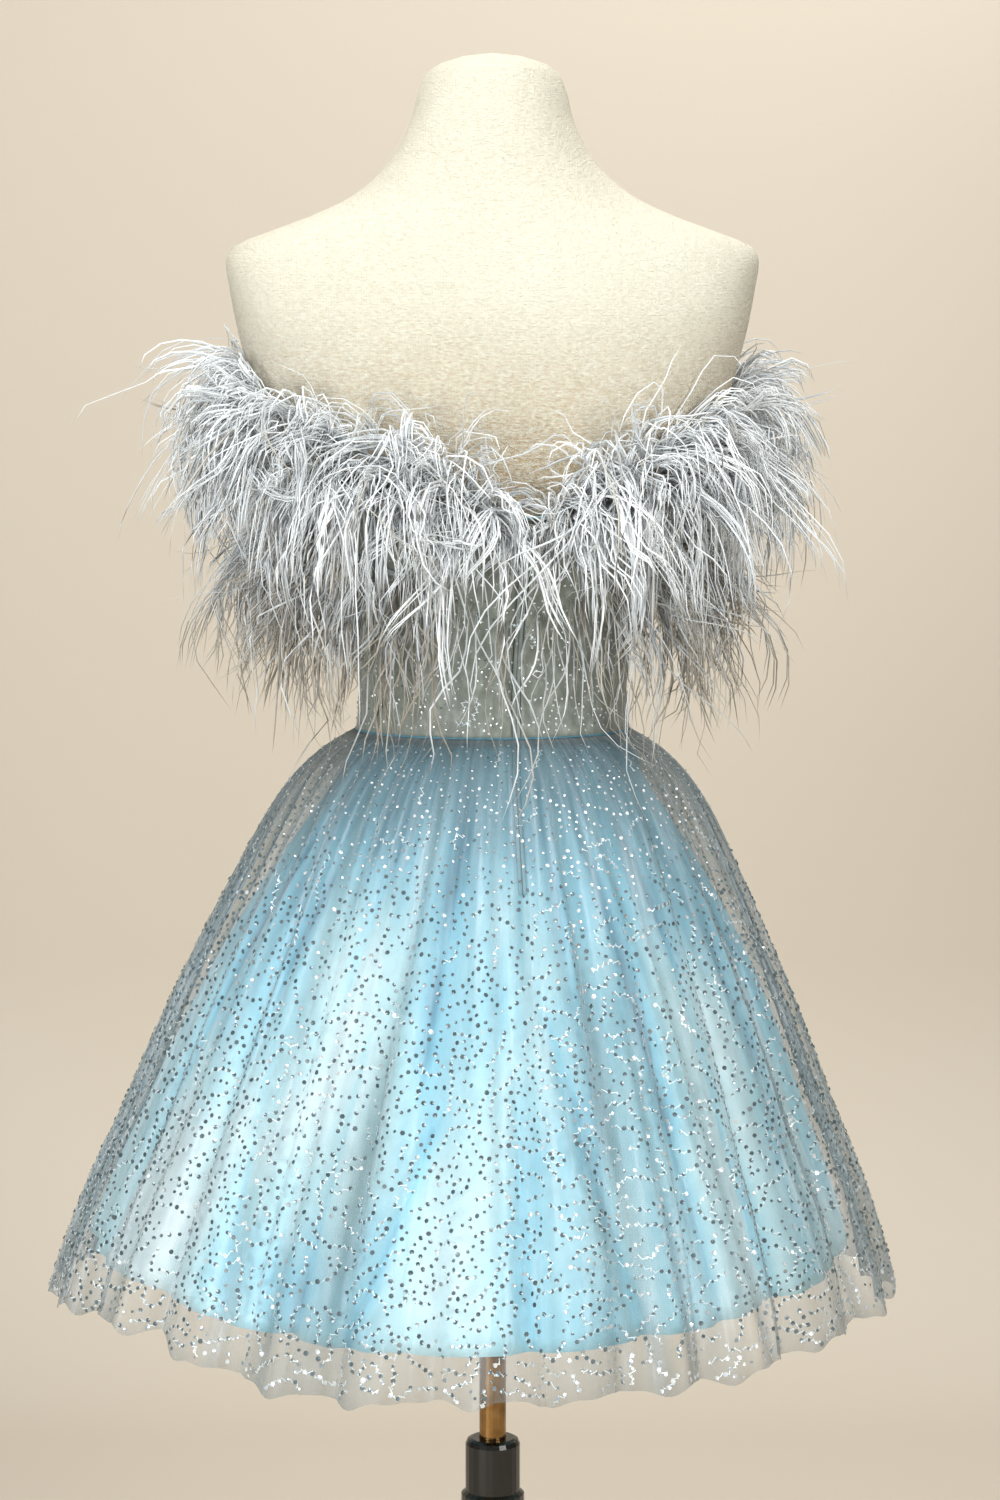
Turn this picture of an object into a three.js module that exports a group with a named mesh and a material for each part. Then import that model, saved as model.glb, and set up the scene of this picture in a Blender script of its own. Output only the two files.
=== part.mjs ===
// A strapless short party dress with an ostrich-feather neckline, on a limbless display form.
//
// Millimetres, +Z up. The origin is on the floor, at the foot of the pole. The back of the dress, with its
// zip, faces -Y and its front faces +Y. Angles go round in degrees from the middle of the form's back:
// 0 at -Y, 90 at +X, 180 at +Y. The dress sits turned a little on the form, so its centre back is at
// dressTurn.
import * as THREE from "three";

// ---- driving dimensions -------------------------------------------------------------------------

const waistZ = 1024; // seam between bodice and skirt
const netHemZ = 564; // hem of the sequinned net
const satinHemZ = 600; // hem of the satin underskirt
const dressTurn = 10; // how far the dress is turned on the form
const backSeam = dressTurn;
const rightSeam = dressTurn + 90;
const leftSeam = dressTurn - 90;

const ease = 1.2; // between the form and the cloth
const seamGap = 0.3; // between two pieces at a seam
const bodiceThick = 2; // satin, net and their backing, sewn as one
const satinThick = 1;
const netThick = 1;
const zipWidth = 5.4;
const zipBelowWaist = 113; // how far the zip runs down the underskirt

const poleRadius = 11;
const poleTopGap = 0.3; // between the pole and the form's flat underside
const poleBottomZ = 215;
const sleeveRadius = 22.5;
const sleeveTopZ = 437;
const sleeveBore = 11.3;
const collarZ = 393; // top of the wider collar round the sleeve
const baseRadius = 170;
const baseThick = 12;
const hubHeight = 34;

const flatUnderside = 748; // height of the form's flat underside

// The form, from its underside up to the neck. half: half width. back, front: depth each way from the
// section's widest line, which lies at y = mid. square: power of the superellipse. bust: how far the
// front comes forward on each side.
const formSections = [
  { z: flatUnderside, half: 96, back: 60, front: 54, mid: -8, square: 2.2, bust: 0 },
  { z: 760, half: 138, back: 88, front: 79, mid: -8, square: 2.3, bust: 0 },
  { z: 790, half: 160, back: 103, front: 90, mid: -8, square: 2.3, bust: 0 },
  { z: 832, half: 166, back: 107, front: 93, mid: -6, square: 2.2, bust: 0 },
  { z: 880, half: 158, back: 101, front: 92, mid: -2, square: 2.1, bust: 0 },
  { z: 932, half: 137, back: 91, front: 90, mid: 0, square: 2, bust: 0 },
  { z: 980, half: 117, back: 84, front: 88, mid: 2, square: 2, bust: 0 },
  { z: waistZ, half: 107, back: 80, front: 86, mid: 3, square: 2, bust: 0 },
  { z: 1060, half: 105, back: 80, front: 88, mid: 4, square: 2, bust: 0 },
  { z: 1100, half: 110, back: 84, front: 92, mid: 3, square: 2.05, bust: 1 },
  { z: 1140, half: 122, back: 90, front: 96, mid: 0, square: 2.1, bust: 6 },
  { z: 1180, half: 140, back: 97, front: 99, mid: -2, square: 2.2, bust: 17 },
  { z: 1215, half: 156, back: 102, front: 100, mid: -4, square: 2.3, bust: 24 },
  { z: 1258, half: 174, back: 106, front: 96, mid: -8, square: 2.4, bust: 18 },
  { z: 1288, half: 186, back: 106, front: 92, mid: -12, square: 2.5, bust: 12 },
  { z: 1340, half: 200, back: 98, front: 78, mid: -20, square: 2.6, bust: 2 },
  { z: 1378, half: 207, back: 86, front: 65, mid: -24, square: 2.6, bust: 0 },
  { z: 1398, half: 209, back: 78, front: 61, mid: -24, square: 2.5, bust: 0 },
  { z: 1409, half: 201, back: 74, front: 59, mid: -22, square: 2.4, bust: 0 },
  { z: 1419, half: 176, back: 72, front: 59, mid: -20, square: 2.2, bust: 0 },
  { z: 1431, half: 144, back: 70, front: 59, mid: -16, square: 2, bust: 0 },
  { z: 1447, half: 111, back: 66, front: 59, mid: -10, square: 2, bust: 0 },
  { z: 1470, half: 85, back: 60, front: 57, mid: -4, square: 2, bust: 0 },
  { z: 1502, half: 66, back: 55, front: 56, mid: 2, square: 2, bust: 0 },
  { z: 1534, half: 57, back: 50, front: 52, mid: 8, square: 2, bust: 0 },
  { z: 1549, half: 47, back: 42, front: 44, mid: 10, square: 2, bust: 0 },
  { z: 1557, half: 24, back: 21, front: 22, mid: 11, square: 2, bust: 0 },
];
const formTop = { y: 11, z: 1560 };
const bustAt = 66; // from the middle of the front to each side's fullest point
const bustSpread = 62;

const bodiceRows = [waistZ + 0.15, 1060, 1100, 1140, 1180]; // heights of the bodice's level rows
const bodiceColumnAngle = 7.5;
const bodiceTopShares = [0.36, 0.6, 0.8, 1]; // rows from the last of these to the top edge

// Height of the dress's top edge, at angles from the centre back.
const topEdge = [
  { from: 0, z: 1197 },
  { from: 28, z: 1222 },
  { from: 55, z: 1243 },
  { from: 80, z: 1270 },
  { from: 105, z: 1282 },
  { from: 135, z: 1284 },
  { from: 160, z: 1276 },
  { from: 180, z: 1266 },
];

// The satin underskirt's inner face, from the waist down. net: how far outside it the net's face hangs.
const skirtSections = [
  { z: waistZ, half: 107 + ease, back: 80 + ease, front: 86 + ease, mid: 3, net: satinThick + seamGap },
  { z: 1008, half: 113.5, back: 86.5, front: 91.5, mid: 2, net: 21.5 },
  { z: 986, half: 121, back: 94, front: 98, mid: 2, net: 36 },
  { z: 955, half: 141, back: 115, front: 118, mid: 1, net: 36 },
  { z: 909, half: 171, back: 146, front: 148, mid: 0, net: 29 },
  { z: 863, half: 198, back: 174, front: 175, mid: 0, net: 24 },
  { z: 812, half: 223, back: 200, front: 200, mid: 0, net: 22 },
  { z: 761, half: 245, back: 222, front: 221, mid: 0, net: 21 },
  { z: 715, half: 263, back: 240, front: 238, mid: 0, net: 21 },
  { z: 664, half: 284, back: 260, front: 257, mid: 0, net: 22 },
  { z: satinHemZ, half: 307, back: 281, front: 278, mid: 0, net: 21 },
  { z: 540, half: 328, back: 300, front: 297, mid: 0, net: 15 },
];
const netLean = -18; // how far the net's hem hangs towards -X
const satinLean = -24;
const gatherDepth = 2.6; // ripples of the gathered net, just under the waist
const gatherFade = 0.22; // share of the net's length over which they fade

// Inward creases of each skirt layer, the bulges lying between them. at: angle. depth: how far the crease
// goes in and the bulge out at the hem. hem: how far the hem is lifted there.
const netCreases = [
  { at: leftSeam, depth: 7, hem: 4 },
  { at: -62, depth: 10, hem: 18 },
  { at: -46, depth: 9, hem: 20 },
  { at: -31, depth: 13, hem: 2 },
  { at: -17, depth: 10, hem: -8 },
  { at: -4, depth: 9, hem: -4 },
  { at: backSeam, depth: 10, hem: -6 },
  { at: 20, depth: 8, hem: -2 },
  { at: 32, depth: 11, hem: -4 },
  { at: 46, depth: 12, hem: 4 },
  { at: 62, depth: 9, hem: 8 },
  { at: 80, depth: 9, hem: 2 },
  { at: rightSeam, depth: 8, hem: -4 },
  { at: 115, depth: 10, hem: 2 },
  { at: 131, depth: 12, hem: 8 },
  { at: 147, depth: 9, hem: 0 },
  { at: 162, depth: 11, hem: -5 },
  { at: 178, depth: 10, hem: 3 },
  { at: 193, depth: 9, hem: -4 },
  { at: 208, depth: 7, hem: 6 },
  { at: 224, depth: 9, hem: 1 },
  { at: 240, depth: 8, hem: -6 },
  { at: 255, depth: 9, hem: 2 },
  { at: 267, depth: 8, hem: 0 },
];
const satinCreases = [
  { at: leftSeam, depth: 4, hem: 16 },
  { at: -50, depth: 6, hem: 8 },
  { at: -25, depth: 7, hem: -6 },
  { at: -8, depth: 6, hem: -12 },
  { at: backSeam, depth: 5, hem: -12 },
  { at: 26, depth: 6, hem: -8 },
  { at: 50, depth: 7, hem: 0 },
  { at: 76, depth: 6, hem: 5 },
  { at: rightSeam, depth: 5, hem: 4 },
  { at: 127, depth: 7, hem: -2 },
  { at: 153, depth: 6, hem: 3 },
  { at: 180, depth: 7, hem: -3 },
  { at: 207, depth: 6, hem: 2 },
  { at: 233, depth: 7, hem: 0 },
  { at: 257, depth: 5, hem: 8 },
];
const columnsPerBulge = 5;

// The feather trim: two tapes round the bodice, each with tiers of feather locks in rows of its face.
// drop: how far the tape's top lies under the dress's top edge. In a tier, row counts up from the tape's
// lower edge, lift is the angle at which a lock leaves the tape and fall the angle at which it ends.
const tapeThick = 1.6;
const tapeGap = 0.9; // between the tape and the bodice
const tapeRowHeight = 4.6;
const tapeColumnWidth = 12.4;
const tapeEndGap = 7; // from the centre back to the end of each tape
const trims = [
  {
    name: "upper",
    drop: 1,
    rows: 3,
    tiers: [
      { row: 2, shift: 0, length: 142, lift: 92, fall: 90, bend: 0.68 },
      { row: 1, shift: 1, length: 152, lift: 50, fall: 90, bend: 0.42 },
      { row: 0, shift: 0, length: 160, lift: 8, fall: 90, bend: 0.45 },
    ],
  },
  {
    name: "lower",
    drop: 78,
    rows: 2,
    tiers: [
      { row: 1, shift: 0, length: 148, lift: -16, fall: 88, bend: 0.6 },
      { row: 0, shift: 1, length: 128, lift: -50, fall: 89, bend: 0.5 },
    ],
  },
];
const lockWidth = 9;
const lockDepth = 4;
const lockFullness = [1, 0.95, 0.62]; // at a quarter, a half and three quarters of its length
const lockUneven = 0.1; // share by which the locks' lengths differ

// ---- materials ----------------------------------------------------------------------------------

function finish(color, roughness, metalness = 0, opacity = 1) {
  return new THREE.MeshStandardMaterial({
    color,
    roughness,
    metalness,
    opacity,
    transparent: opacity < 1,
    side: THREE.DoubleSide,
  });
}

const linen = finish(0xefe7cf, 0.9);
const brass = finish(0xb98a45, 0.28, 1);
const blackEnamel = finish(0x14110f, 0.35);
const bodiceSatin = finish(0x97a3a2, 0.5);
const skirtSatin = finish(0xa9dcee, 0.38);
const sequinNet = finish(0xc3d8de, 0.55, 0, 0.45);
const feather = finish(0xc3c9d0, 0.85);
const zipTape = finish(0x8fa0a3, 0.6);
const zipMetal = finish(0xaab4b8, 0.35, 1);

// ---- helpers ------------------------------------------------------------------------------------

const radians = THREE.MathUtils.degToRad;
const mix = THREE.MathUtils.lerp;

// A repeatable value from -1 to 1 for each number.
function unevenness(n) {
  const s = Math.sin(n * 127.1 + 11.7) * 43758.5453;
  return 2 * (s - Math.floor(s)) - 1;
}

// The two rows of a table on either side of a value, and how far it lies between them.
function between(rows, key, value) {
  const rising = rows[1][key] > rows[0][key];
  let i = 0;
  while (i < rows.length - 2 && (rising ? value > rows[i + 1][key] : value < rows[i + 1][key])) i++;
  const share = (value - rows[i][key]) / (rows[i + 1][key] - rows[i][key]);
  return [rows[i], rows[i + 1], THREE.MathUtils.clamp(share, 0, 1)];
}

// One row of a table at any value of its key, every column following a smooth curve through the rows.
function smoothRow(rows, key, value) {
  const [a, b, share] = between(rows, key, value);
  const i = rows.indexOf(a);
  const before = rows[i - 1] ?? a;
  const after = rows[i + 2] ?? b;
  const span = b[key] - a[key];
  const row = {};
  for (const column of Object.keys(a)) {
    const slopeA = (b[column] - before[column]) / (b[key] - before[key]);
    const slopeB = (after[column] - a[column]) / (after[key] - a[key]);
    const bend = (1 - share) * (slopeA * span - b[column] + a[column]) * share;
    const bendBack = share * (b[column] - a[column] - slopeB * span) * (1 - share);
    row[column] = mix(a[column], b[column], share) + (1 - share) * bend + share * bendBack;
  }
  return row;
}

function tableValue(rows, key, column, value) {
  const [a, b, share] = between(rows, key, value);
  return mix(a[column], b[column], share);
}

// A point of one section, moved out by grow.
function sectionPoint(section, angle, grow) {
  const s = Math.sin(radians(angle));
  const c = -Math.cos(radians(angle));
  const power = 2 / (section.square ?? 2);
  const depth = (c < 0 ? section.back : section.front) + grow;
  return new THREE.Vector3(
    Math.sign(s) * Math.abs(s) ** power * (section.half + grow),
    Math.sign(c) * Math.abs(c) ** power * depth + section.mid,
    section.z,
  );
}

// How far the bust brings a point forward. Cloth spans the hollow between its two sides.
function bustForward(section, point, spanned) {
  if (!section.bust || point.y <= section.mid) return 0;
  const facing = Math.min(1, (point.y - section.mid) / (0.6 * section.front));
  const off = Math.abs(point.x) - bustAt;
  const aside = spanned ? Math.max(0, off) : off;
  return section.bust * facing * Math.exp(-((aside / bustSpread) ** 2));
}

// A point on the form at an angle and height, moved out by grow.
function formPoint(angle, z, grow, spanned) {
  const section = smoothRow(formSections, "z", z);
  const point = sectionPoint(section, angle, grow);
  point.y += bustForward(section, point, spanned);
  return point;
}

// The outward direction, level, of a surface given as a function of the angle.
function outward(pointAt, angle) {
  const step = pointAt(angle + 0.5).sub(pointAt(angle - 0.5));
  return new THREE.Vector3(step.y, -step.x, 0).normalize();
}

function topEdgeZ(angle) {
  const away = Math.abs(((angle - backSeam + 540) % 360) - 180);
  return tableValue(topEdge, "from", "z", away);
}

// Collects vertices and quads, and gives a geometry.
class Surface {
  constructor() {
    this.positions = [];
    this.faces = [];
  }
  add(point) {
    this.positions.push(point.x, point.y, point.z);
    return this.positions.length / 3 - 1;
  }
  triangle(a, b, c) {
    this.faces.push(a, b, c);
  }
  quad(a, b, c, d) {
    this.faces.push(a, b, c, a, c, d);
  }
  geometry() {
    const g = new THREE.BufferGeometry();
    g.setAttribute("position", new THREE.Float32BufferAttribute(this.positions, 3));
    g.setIndex(this.faces);
    g.computeVertexNormals();
    return g;
  }
}

function piece(name, geometry, material) {
  const mesh = new THREE.Mesh(geometry, material);
  mesh.name = name;
  return mesh;
}

// A closed wall of cloth. columnAngles go round it, rows go up it, and pointAt(angle, row, depth)
// gives its inner face at depth 0 and its outer face at depth 1.
function clothWall(columnAngles, rows, pointAt) {
  const surface = new Surface();
  const [inner, outer] = [0, 1].map((depth) =>
    columnAngles.map((angle) => rows.map((row) => surface.add(pointAt(angle, row, depth)))),
  );
  const lastColumn = columnAngles.length - 1;
  const lastRow = rows.length - 1;
  for (let i = 0; i < lastColumn; i++) {
    for (let j = 0; j < lastRow; j++) {
      surface.quad(outer[i][j], outer[i + 1][j], outer[i + 1][j + 1], outer[i][j + 1]);
      surface.quad(inner[i + 1][j], inner[i][j], inner[i][j + 1], inner[i + 1][j + 1]);
    }
    surface.quad(inner[i][0], inner[i + 1][0], outer[i + 1][0], outer[i][0]);
    surface.quad(outer[i][lastRow], outer[i + 1][lastRow], inner[i + 1][lastRow], inner[i][lastRow]);
  }
  for (let j = 0; j < lastRow; j++) {
    surface.quad(outer[0][j], outer[0][j + 1], inner[0][j + 1], inner[0][j]);
    const [o, n] = [outer[lastColumn], inner[lastColumn]];
    surface.quad(o[j], n[j], n[j + 1], o[j + 1]);
  }
  return surface.geometry();
}

// Moves a panel's edge columns off their seam lines: each is turned so that it clears the seam by gap.
function clearOfSeams(angle, from, to, point, gapFrom, gapTo) {
  const radius = Math.hypot(point.x, point.y);
  if (angle === from) return angle + THREE.MathUtils.radToDeg(gapFrom / radius);
  if (angle === to) return angle - THREE.MathUtils.radToDeg(gapTo / radius);
  return angle;
}

function evenSteps(from, to, count) {
  return Array.from({ length: count + 1 }, (_, i) => mix(from, to, i / count));
}

// ---- the display form and its stand ----------------------------------------------------------------

function formTorso() {
  const columns = 32;
  const surface = new Surface();
  const rings = formSections.map((section) =>
    Array.from({ length: columns }, (_, i) => surface.add(formPoint((360 * i) / columns, section.z, 0))),
  );
  rings.slice(1).forEach((ring, r) => {
    ring.forEach((_, i) => {
      const next = (i + 1) % columns;
      surface.quad(rings[r][i], rings[r][next], ring[next], ring[i]);
    });
  });
  const top = surface.add(new THREE.Vector3(0, formTop.y, formTop.z));
  const bottom = surface.add(new THREE.Vector3(0, formSections[0].mid, flatUnderside));
  for (let i = 0; i < columns; i++) {
    const next = (i + 1) % columns;
    surface.triangle(rings.at(-1)[i], rings.at(-1)[next], top);
    surface.triangle(rings[0][next], rings[0][i], bottom);
  }
  return piece("form_torso", surface.geometry(), linen);
}

// A turned piece about the pole's line, from a profile of [radius, height].
function turned(name, profile, sides, material) {
  const points = profile.map(([r, z]) => new THREE.Vector2(r, z));
  const geometry = new THREE.LatheGeometry(points, sides).rotateX(Math.PI / 2);
  return piece(name, geometry, material);
}

function formPole() {
  const top = flatUnderside - poleTopGap;
  const profile = [
    [0, poleBottomZ],
    [poleRadius, poleBottomZ],
    [poleRadius, top],
    [0, top],
  ];
  return turned("form_pole", profile, 24, brass);
}

function standSleeve() {
  const foot = baseThick + hubHeight + seamGap;
  const collarRadius = sleeveRadius + 3.5;
  const collarFoot = collarZ - 38;
  const rounding = 5;
  const profile = [
    [sleeveBore, foot],
    [sleeveRadius, foot],
    [sleeveRadius, collarFoot - 3],
    [collarRadius, collarFoot],
    [collarRadius, collarZ - 3],
    [sleeveRadius, collarZ],
    [sleeveRadius, sleeveTopZ - rounding],
    [sleeveRadius - 0.3 * rounding, sleeveTopZ - 0.3 * rounding],
    [sleeveRadius - rounding, sleeveTopZ],
    [sleeveBore, sleeveTopZ],
    [sleeveBore, foot],
  ];
  return turned("stand_sleeve", profile, 24, blackEnamel);
}

function standBase() {
  const edge = 4;
  const hubFoot = 46;
  const hubTop = 30;
  const profile = [
    [0, 0],
    [baseRadius, 0],
    [baseRadius, baseThick - edge],
    [baseRadius - edge, baseThick],
    [hubFoot, baseThick],
    [hubTop, baseThick + 0.4 * hubHeight],
    [hubTop - 4, baseThick + hubHeight],
    [0, baseThick + hubHeight],
  ];
  return turned("stand_base", profile, 36, blackEnamel);
}

// ---- bodice and zip -----------------------------------------------------------------------------

function bodicePoint(angle, row, grow) {
  const share = bodiceTopShares[row - bodiceRows.length];
  const z = share ? mix(bodiceRows.at(-1), topEdgeZ(angle), share) : bodiceRows[row];
  return formPoint(angle, z, grow, true);
}

const zipHalfGap = zipWidth / 2 + seamGap;

function bodicePanel(name, from, to, gapFrom, gapTo) {
  const angles = evenSteps(from, to, Math.round((to - from) / bodiceColumnAngle));
  const rows = [...bodiceRows, ...bodiceTopShares].map((_, row) => row);
  const geometry = clothWall(angles, rows, (angle, row, depth) => {
    const grow = ease + depth * bodiceThick;
    const turnedAngle = clearOfSeams(angle, from, to, bodicePoint(angle, row, grow), gapFrom, gapTo);
    return bodicePoint(turnedAngle, row, grow);
  });
  return piece(name, geometry, bodiceSatin);
}

// The closed zip: a narrow strip between the two back panels, from the top edge down into the underskirt.
function backZip() {
  const bottomZ = waistZ - zipBelowWaist;
  const topZ = topEdgeZ(backSeam) - 1;
  const levels = [
    ...evenSteps(bottomZ, waistZ, 6),
    ...evenSteps(waistZ, topZ, 6).slice(1),
  ];
  const sides = [-0.5, 0, 0.5];
  const geometry = clothWall(sides, levels, (side, z, depth) => {
    const grow = depth * satinThick;
    const pointAt = (angle) =>
      z < waistZ ? satinPoint(angle, z, grow) : formPoint(angle, z, ease + grow, true);
    const radius = Math.hypot(pointAt(backSeam).x, pointAt(backSeam).y);
    return pointAt(backSeam + THREE.MathUtils.radToDeg((side * zipWidth) / radius));
  });
  return piece("back_zip", geometry, zipTape);
}

// The zip's slider, at the top of the strip, lying on it.
function zipSlider() {
  const [width, tall, thick] = [6.4, 9, 2.4];
  const [middleZ, off] = [topEdgeZ(backSeam) - 9, ease + satinThick + seamGap];
  const pointAt = (angle, z = middleZ) => formPoint(angle, z, off, true);
  const shape = new THREE.Shape();
  shape.moveTo(-0.3 * width, -tall / 2);
  shape.lineTo(0.3 * width, -tall / 2);
  shape.lineTo(width / 2, tall / 2);
  shape.lineTo(-width / 2, tall / 2);
  const geometry = new THREE.ExtrudeGeometry(shape, { depth: thick, bevelEnabled: false });
  const up = pointAt(backSeam, middleZ + 5).sub(pointAt(backSeam, middleZ - 5)).normalize();
  const across = pointAt(backSeam + 1).sub(pointAt(backSeam - 1)).normalize();
  const facing = across.clone().cross(up);
  const place = new THREE.Matrix4().makeBasis(across, up, facing).setPosition(pointAt(backSeam));
  return piece("zip_slider", geometry.applyMatrix4(place), zipMetal);
}

// ---- skirt --------------------------------------------------------------------------------------

// Which bulge an angle lies in: its two creases and how far across it the angle is.
function bulgeAt(creases, angle) {
  const first = creases[0].at;
  const turn = first + ((((angle - first) % 360) + 360) % 360);
  const ring = [...creases, { ...creases[0], at: first + 360 }];
  return between(ring, "at", turn);
}

// How far a layer bulges out at an angle, per unit of fullness: down to -depth in a crease.
function foldAt(creases, angle) {
  const [a, b, across] = bulgeAt(creases, angle);
  const depth = mix(a.depth, b.depth, across);
  return depth * (2 * Math.sin(Math.PI * across) ** 0.8 - 1);
}

function hemLift(creases, angle) {
  const [a, b, across] = bulgeAt(creases, angle);
  return mix(a.hem, b.hem, across);
}

// A point of the skirt's smooth shape, moved out by grow and leaning towards the hem.
function skirtPoint(section, angle, grow, lean) {
  const point = sectionPoint(section, angle, grow);
  point.x += (lean * (waistZ - section.z)) / (waistZ - netHemZ);
  return point;
}

function satinPoint(angle, z, grow) {
  const down = (waistZ - z) / (waistZ - satinHemZ);
  const section = smoothRow(skirtSections, "z", z);
  return skirtPoint(section, angle, grow + foldAt(satinCreases, angle) * down, satinLean);
}

function netPoint(angle, z, grow) {
  const down = (waistZ - z) / (waistZ - netHemZ);
  const section = smoothRow(skirtSections, "z", z);
  const across = bulgeAt(netCreases, angle)[2];
  const gather = Math.min(1, 25 * down) * Math.exp(-down / gatherFade) * gatherDepth;
  const ripple = -gather * Math.cos(4 * Math.PI * across);
  const fold = foldAt(netCreases, angle) * down ** 0.8;
  return skirtPoint(section, angle, grow + section.net + ripple + fold, netLean);
}

// The columns of a skirt panel: evenly spread over each of its bulges.
function bulgeColumns(creases, from, to) {
  const stops = [...creases.map((c) => c.at), ...creases.map((c) => c.at + 360)];
  const within = stops.filter((at) => at >= from && at < to);
  const ends = [...within.slice(1), to];
  const columns = within.flatMap((at, i) => evenSteps(at, ends[i], columnsPerBulge).slice(0, -1));
  return [...columns, to];
}

const satinLayer = {
  creases: satinCreases,
  hemZ: satinHemZ,
  thick: satinThick,
  drops: [0, 0.04, 0.1, 0.17, 0.26, 0.45, 0.7, 1],
  pointAt: satinPoint,
  material: skirtSatin,
};
const netLayer = {
  creases: netCreases,
  hemZ: netHemZ,
  thick: netThick,
  drops: [0, 0.04, 0.1, 0.2, 0.36, 0.56, 0.78, 1],
  pointAt: netPoint,
  material: sequinNet,
};

function skirtPanel(name, layer, from, to, zipSide) {
  const angles = bulgeColumns(layer.creases, from, to);
  const heights = layer.drops.map((drop) => 1 - drop).reverse();
  const zipFoot = waistZ - zipBelowWaist - seamGap;
  const geometry = clothWall(angles, heights, (angle, h, depth) => {
    const z = mix(layer.hemZ + hemLift(layer.creases, angle), waistZ - seamGap / 2, h);
    const besideZip = z >= zipFoot - 1 ? zipHalfGap : seamGap / 2;
    const gapFrom = zipSide === "from" ? besideZip : seamGap / 2;
    const gapTo = zipSide === "to" ? besideZip : seamGap / 2;
    const point = layer.pointAt(angle, z, depth * layer.thick);
    const turnedAngle = clearOfSeams(angle, from, to, point, gapFrom, gapTo);
    return layer.pointAt(turnedAngle, z, depth * layer.thick);
  });
  return piece(name, geometry, layer.material);
}

// ---- feather trim -------------------------------------------------------------------------------

// One lock of feather barbs, growing out of the tape's triangle root, which is [left, right, upper left].
function addLock(surface, root, start, facing, tier, number) {
  const side = new THREE.Vector3(-facing.y, facing.x, 0);
  const steps = lockFullness.length + 1;
  const stride = (tier.length * (1 + lockUneven * unevenness(number))) / steps;
  const sway = radians(5 * unevenness(number + 0.37));
  const centre = start.clone();
  let below = root;
  for (let k = 1; k <= steps; k++) {
    const along = ((k - 0.5) / steps) ** tier.bend;
    const pitch = radians(mix(tier.lift, -tier.fall, along));
    centre
      .addScaledVector(facing, stride * Math.cos(pitch))
      .addScaledVector(side, stride * Math.sin(sway));
    centre.z += stride * Math.sin(pitch);
    if (k === steps) {
      const tip = surface.add(centre);
      below.forEach((corner, i) => surface.triangle(corner, below[(i + 1) % 3], tip));
      return;
    }
    const over = facing.clone().multiplyScalar(-Math.sin(pitch));
    over.z = Math.cos(pitch);
    const full = lockFullness[k - 1];
    const corners = [
      [-0.5, -0.33],
      [0.5, -0.33],
      [0, 0.67],
    ].map(([across, up]) =>
      surface.add(
        centre
          .clone()
          .addScaledVector(side, across * lockWidth * full)
          .addScaledVector(over, up * lockDepth * full),
      ),
    );
    below.forEach((corner, i) => {
      const next = (i + 1) % 3;
      surface.quad(corner, below[next], corners[next], corners[i]);
    });
    below = corners;
  }
}

// A stretch of tape with its locks fused into its outer face.
function featherTrim(trim, where, from, to, gapFrom, gapTo) {
  const topZ = (angle) => topEdgeZ(angle) - trim.drop;
  const height = trim.rows * tapeRowHeight;
  const inside = ease + bodiceThick + tapeGap;
  const tapePoint = (angle, up, grow) =>
    formPoint(angle, topZ(angle) - height + up * tapeRowHeight, inside + grow, true);
  const middle = (angle) => tapePoint(angle, trim.rows / 2, tapeThick);
  const radiusAt = (angle) => Math.hypot(middle(angle).x, middle(angle).y);
  const start = from + THREE.MathUtils.radToDeg(gapFrom / radiusAt(from));
  const end = to - THREE.MathUtils.radToDeg(gapTo / radiusAt(to));
  const lengths = evenSteps(start, end, 60).map(middle);
  const length = lengths.slice(1).reduce((sum, p, i) => sum + p.distanceTo(lengths[i]), 0);
  const angles = evenSteps(start, end, 2 * Math.round(length / tapeColumnWidth / 2));

  // Each column is a ring round the tape: up its outer face, then down its inner face.
  const surface = new Surface();
  const columns = angles.map((angle) => [
    ...Array.from({ length: trim.rows + 1 }, (_, up) => surface.add(tapePoint(angle, up, tapeThick))),
    surface.add(tapePoint(angle, trim.rows, 0)),
    surface.add(tapePoint(angle, 0, 0)),
  ]);
  const around = columns[0].length;
  const tierInRow = (row, column) =>
    trim.tiers.find((tier) => tier.row === row && column % 2 === tier.shift);
  columns.slice(1).forEach((right, i) => {
    const left = columns[i];
    for (let k = 0; k < around; k++) {
      const next = (k + 1) % around;
      surface.triangle(right[k], right[next], left[next]);
      const tier = k < trim.rows ? tierInRow(k, i) : undefined;
      if (!tier) {
        surface.triangle(left[k], right[k], left[next]);
        continue;
      }
      const angle = (angles[i] + angles[i + 1]) / 2;
      const facing = outward(middle, angle);
      const centre = tapePoint(angle, k + 0.4, tapeThick);
      const number = angle + 1000 * k + 100 * trim.drop;
      addLock(surface, [left[k], right[k], left[next]], centre, facing, tier, number);
    }
  });
  const [first, last] = [columns[0], columns.at(-1)];
  for (let k = 1; k < around - 1; k++) {
    surface.triangle(first[0], first[k], first[k + 1]);
    surface.triangle(last[0], last[k + 1], last[k]);
  }
  return piece(`feathers_${trim.name}_${where}`, surface.geometry(), feather);
}

// ---- the dress on its form ------------------------------------------------------------------------

const half = seamGap / 2;
const front = [rightSeam, leftSeam + 360];

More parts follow.
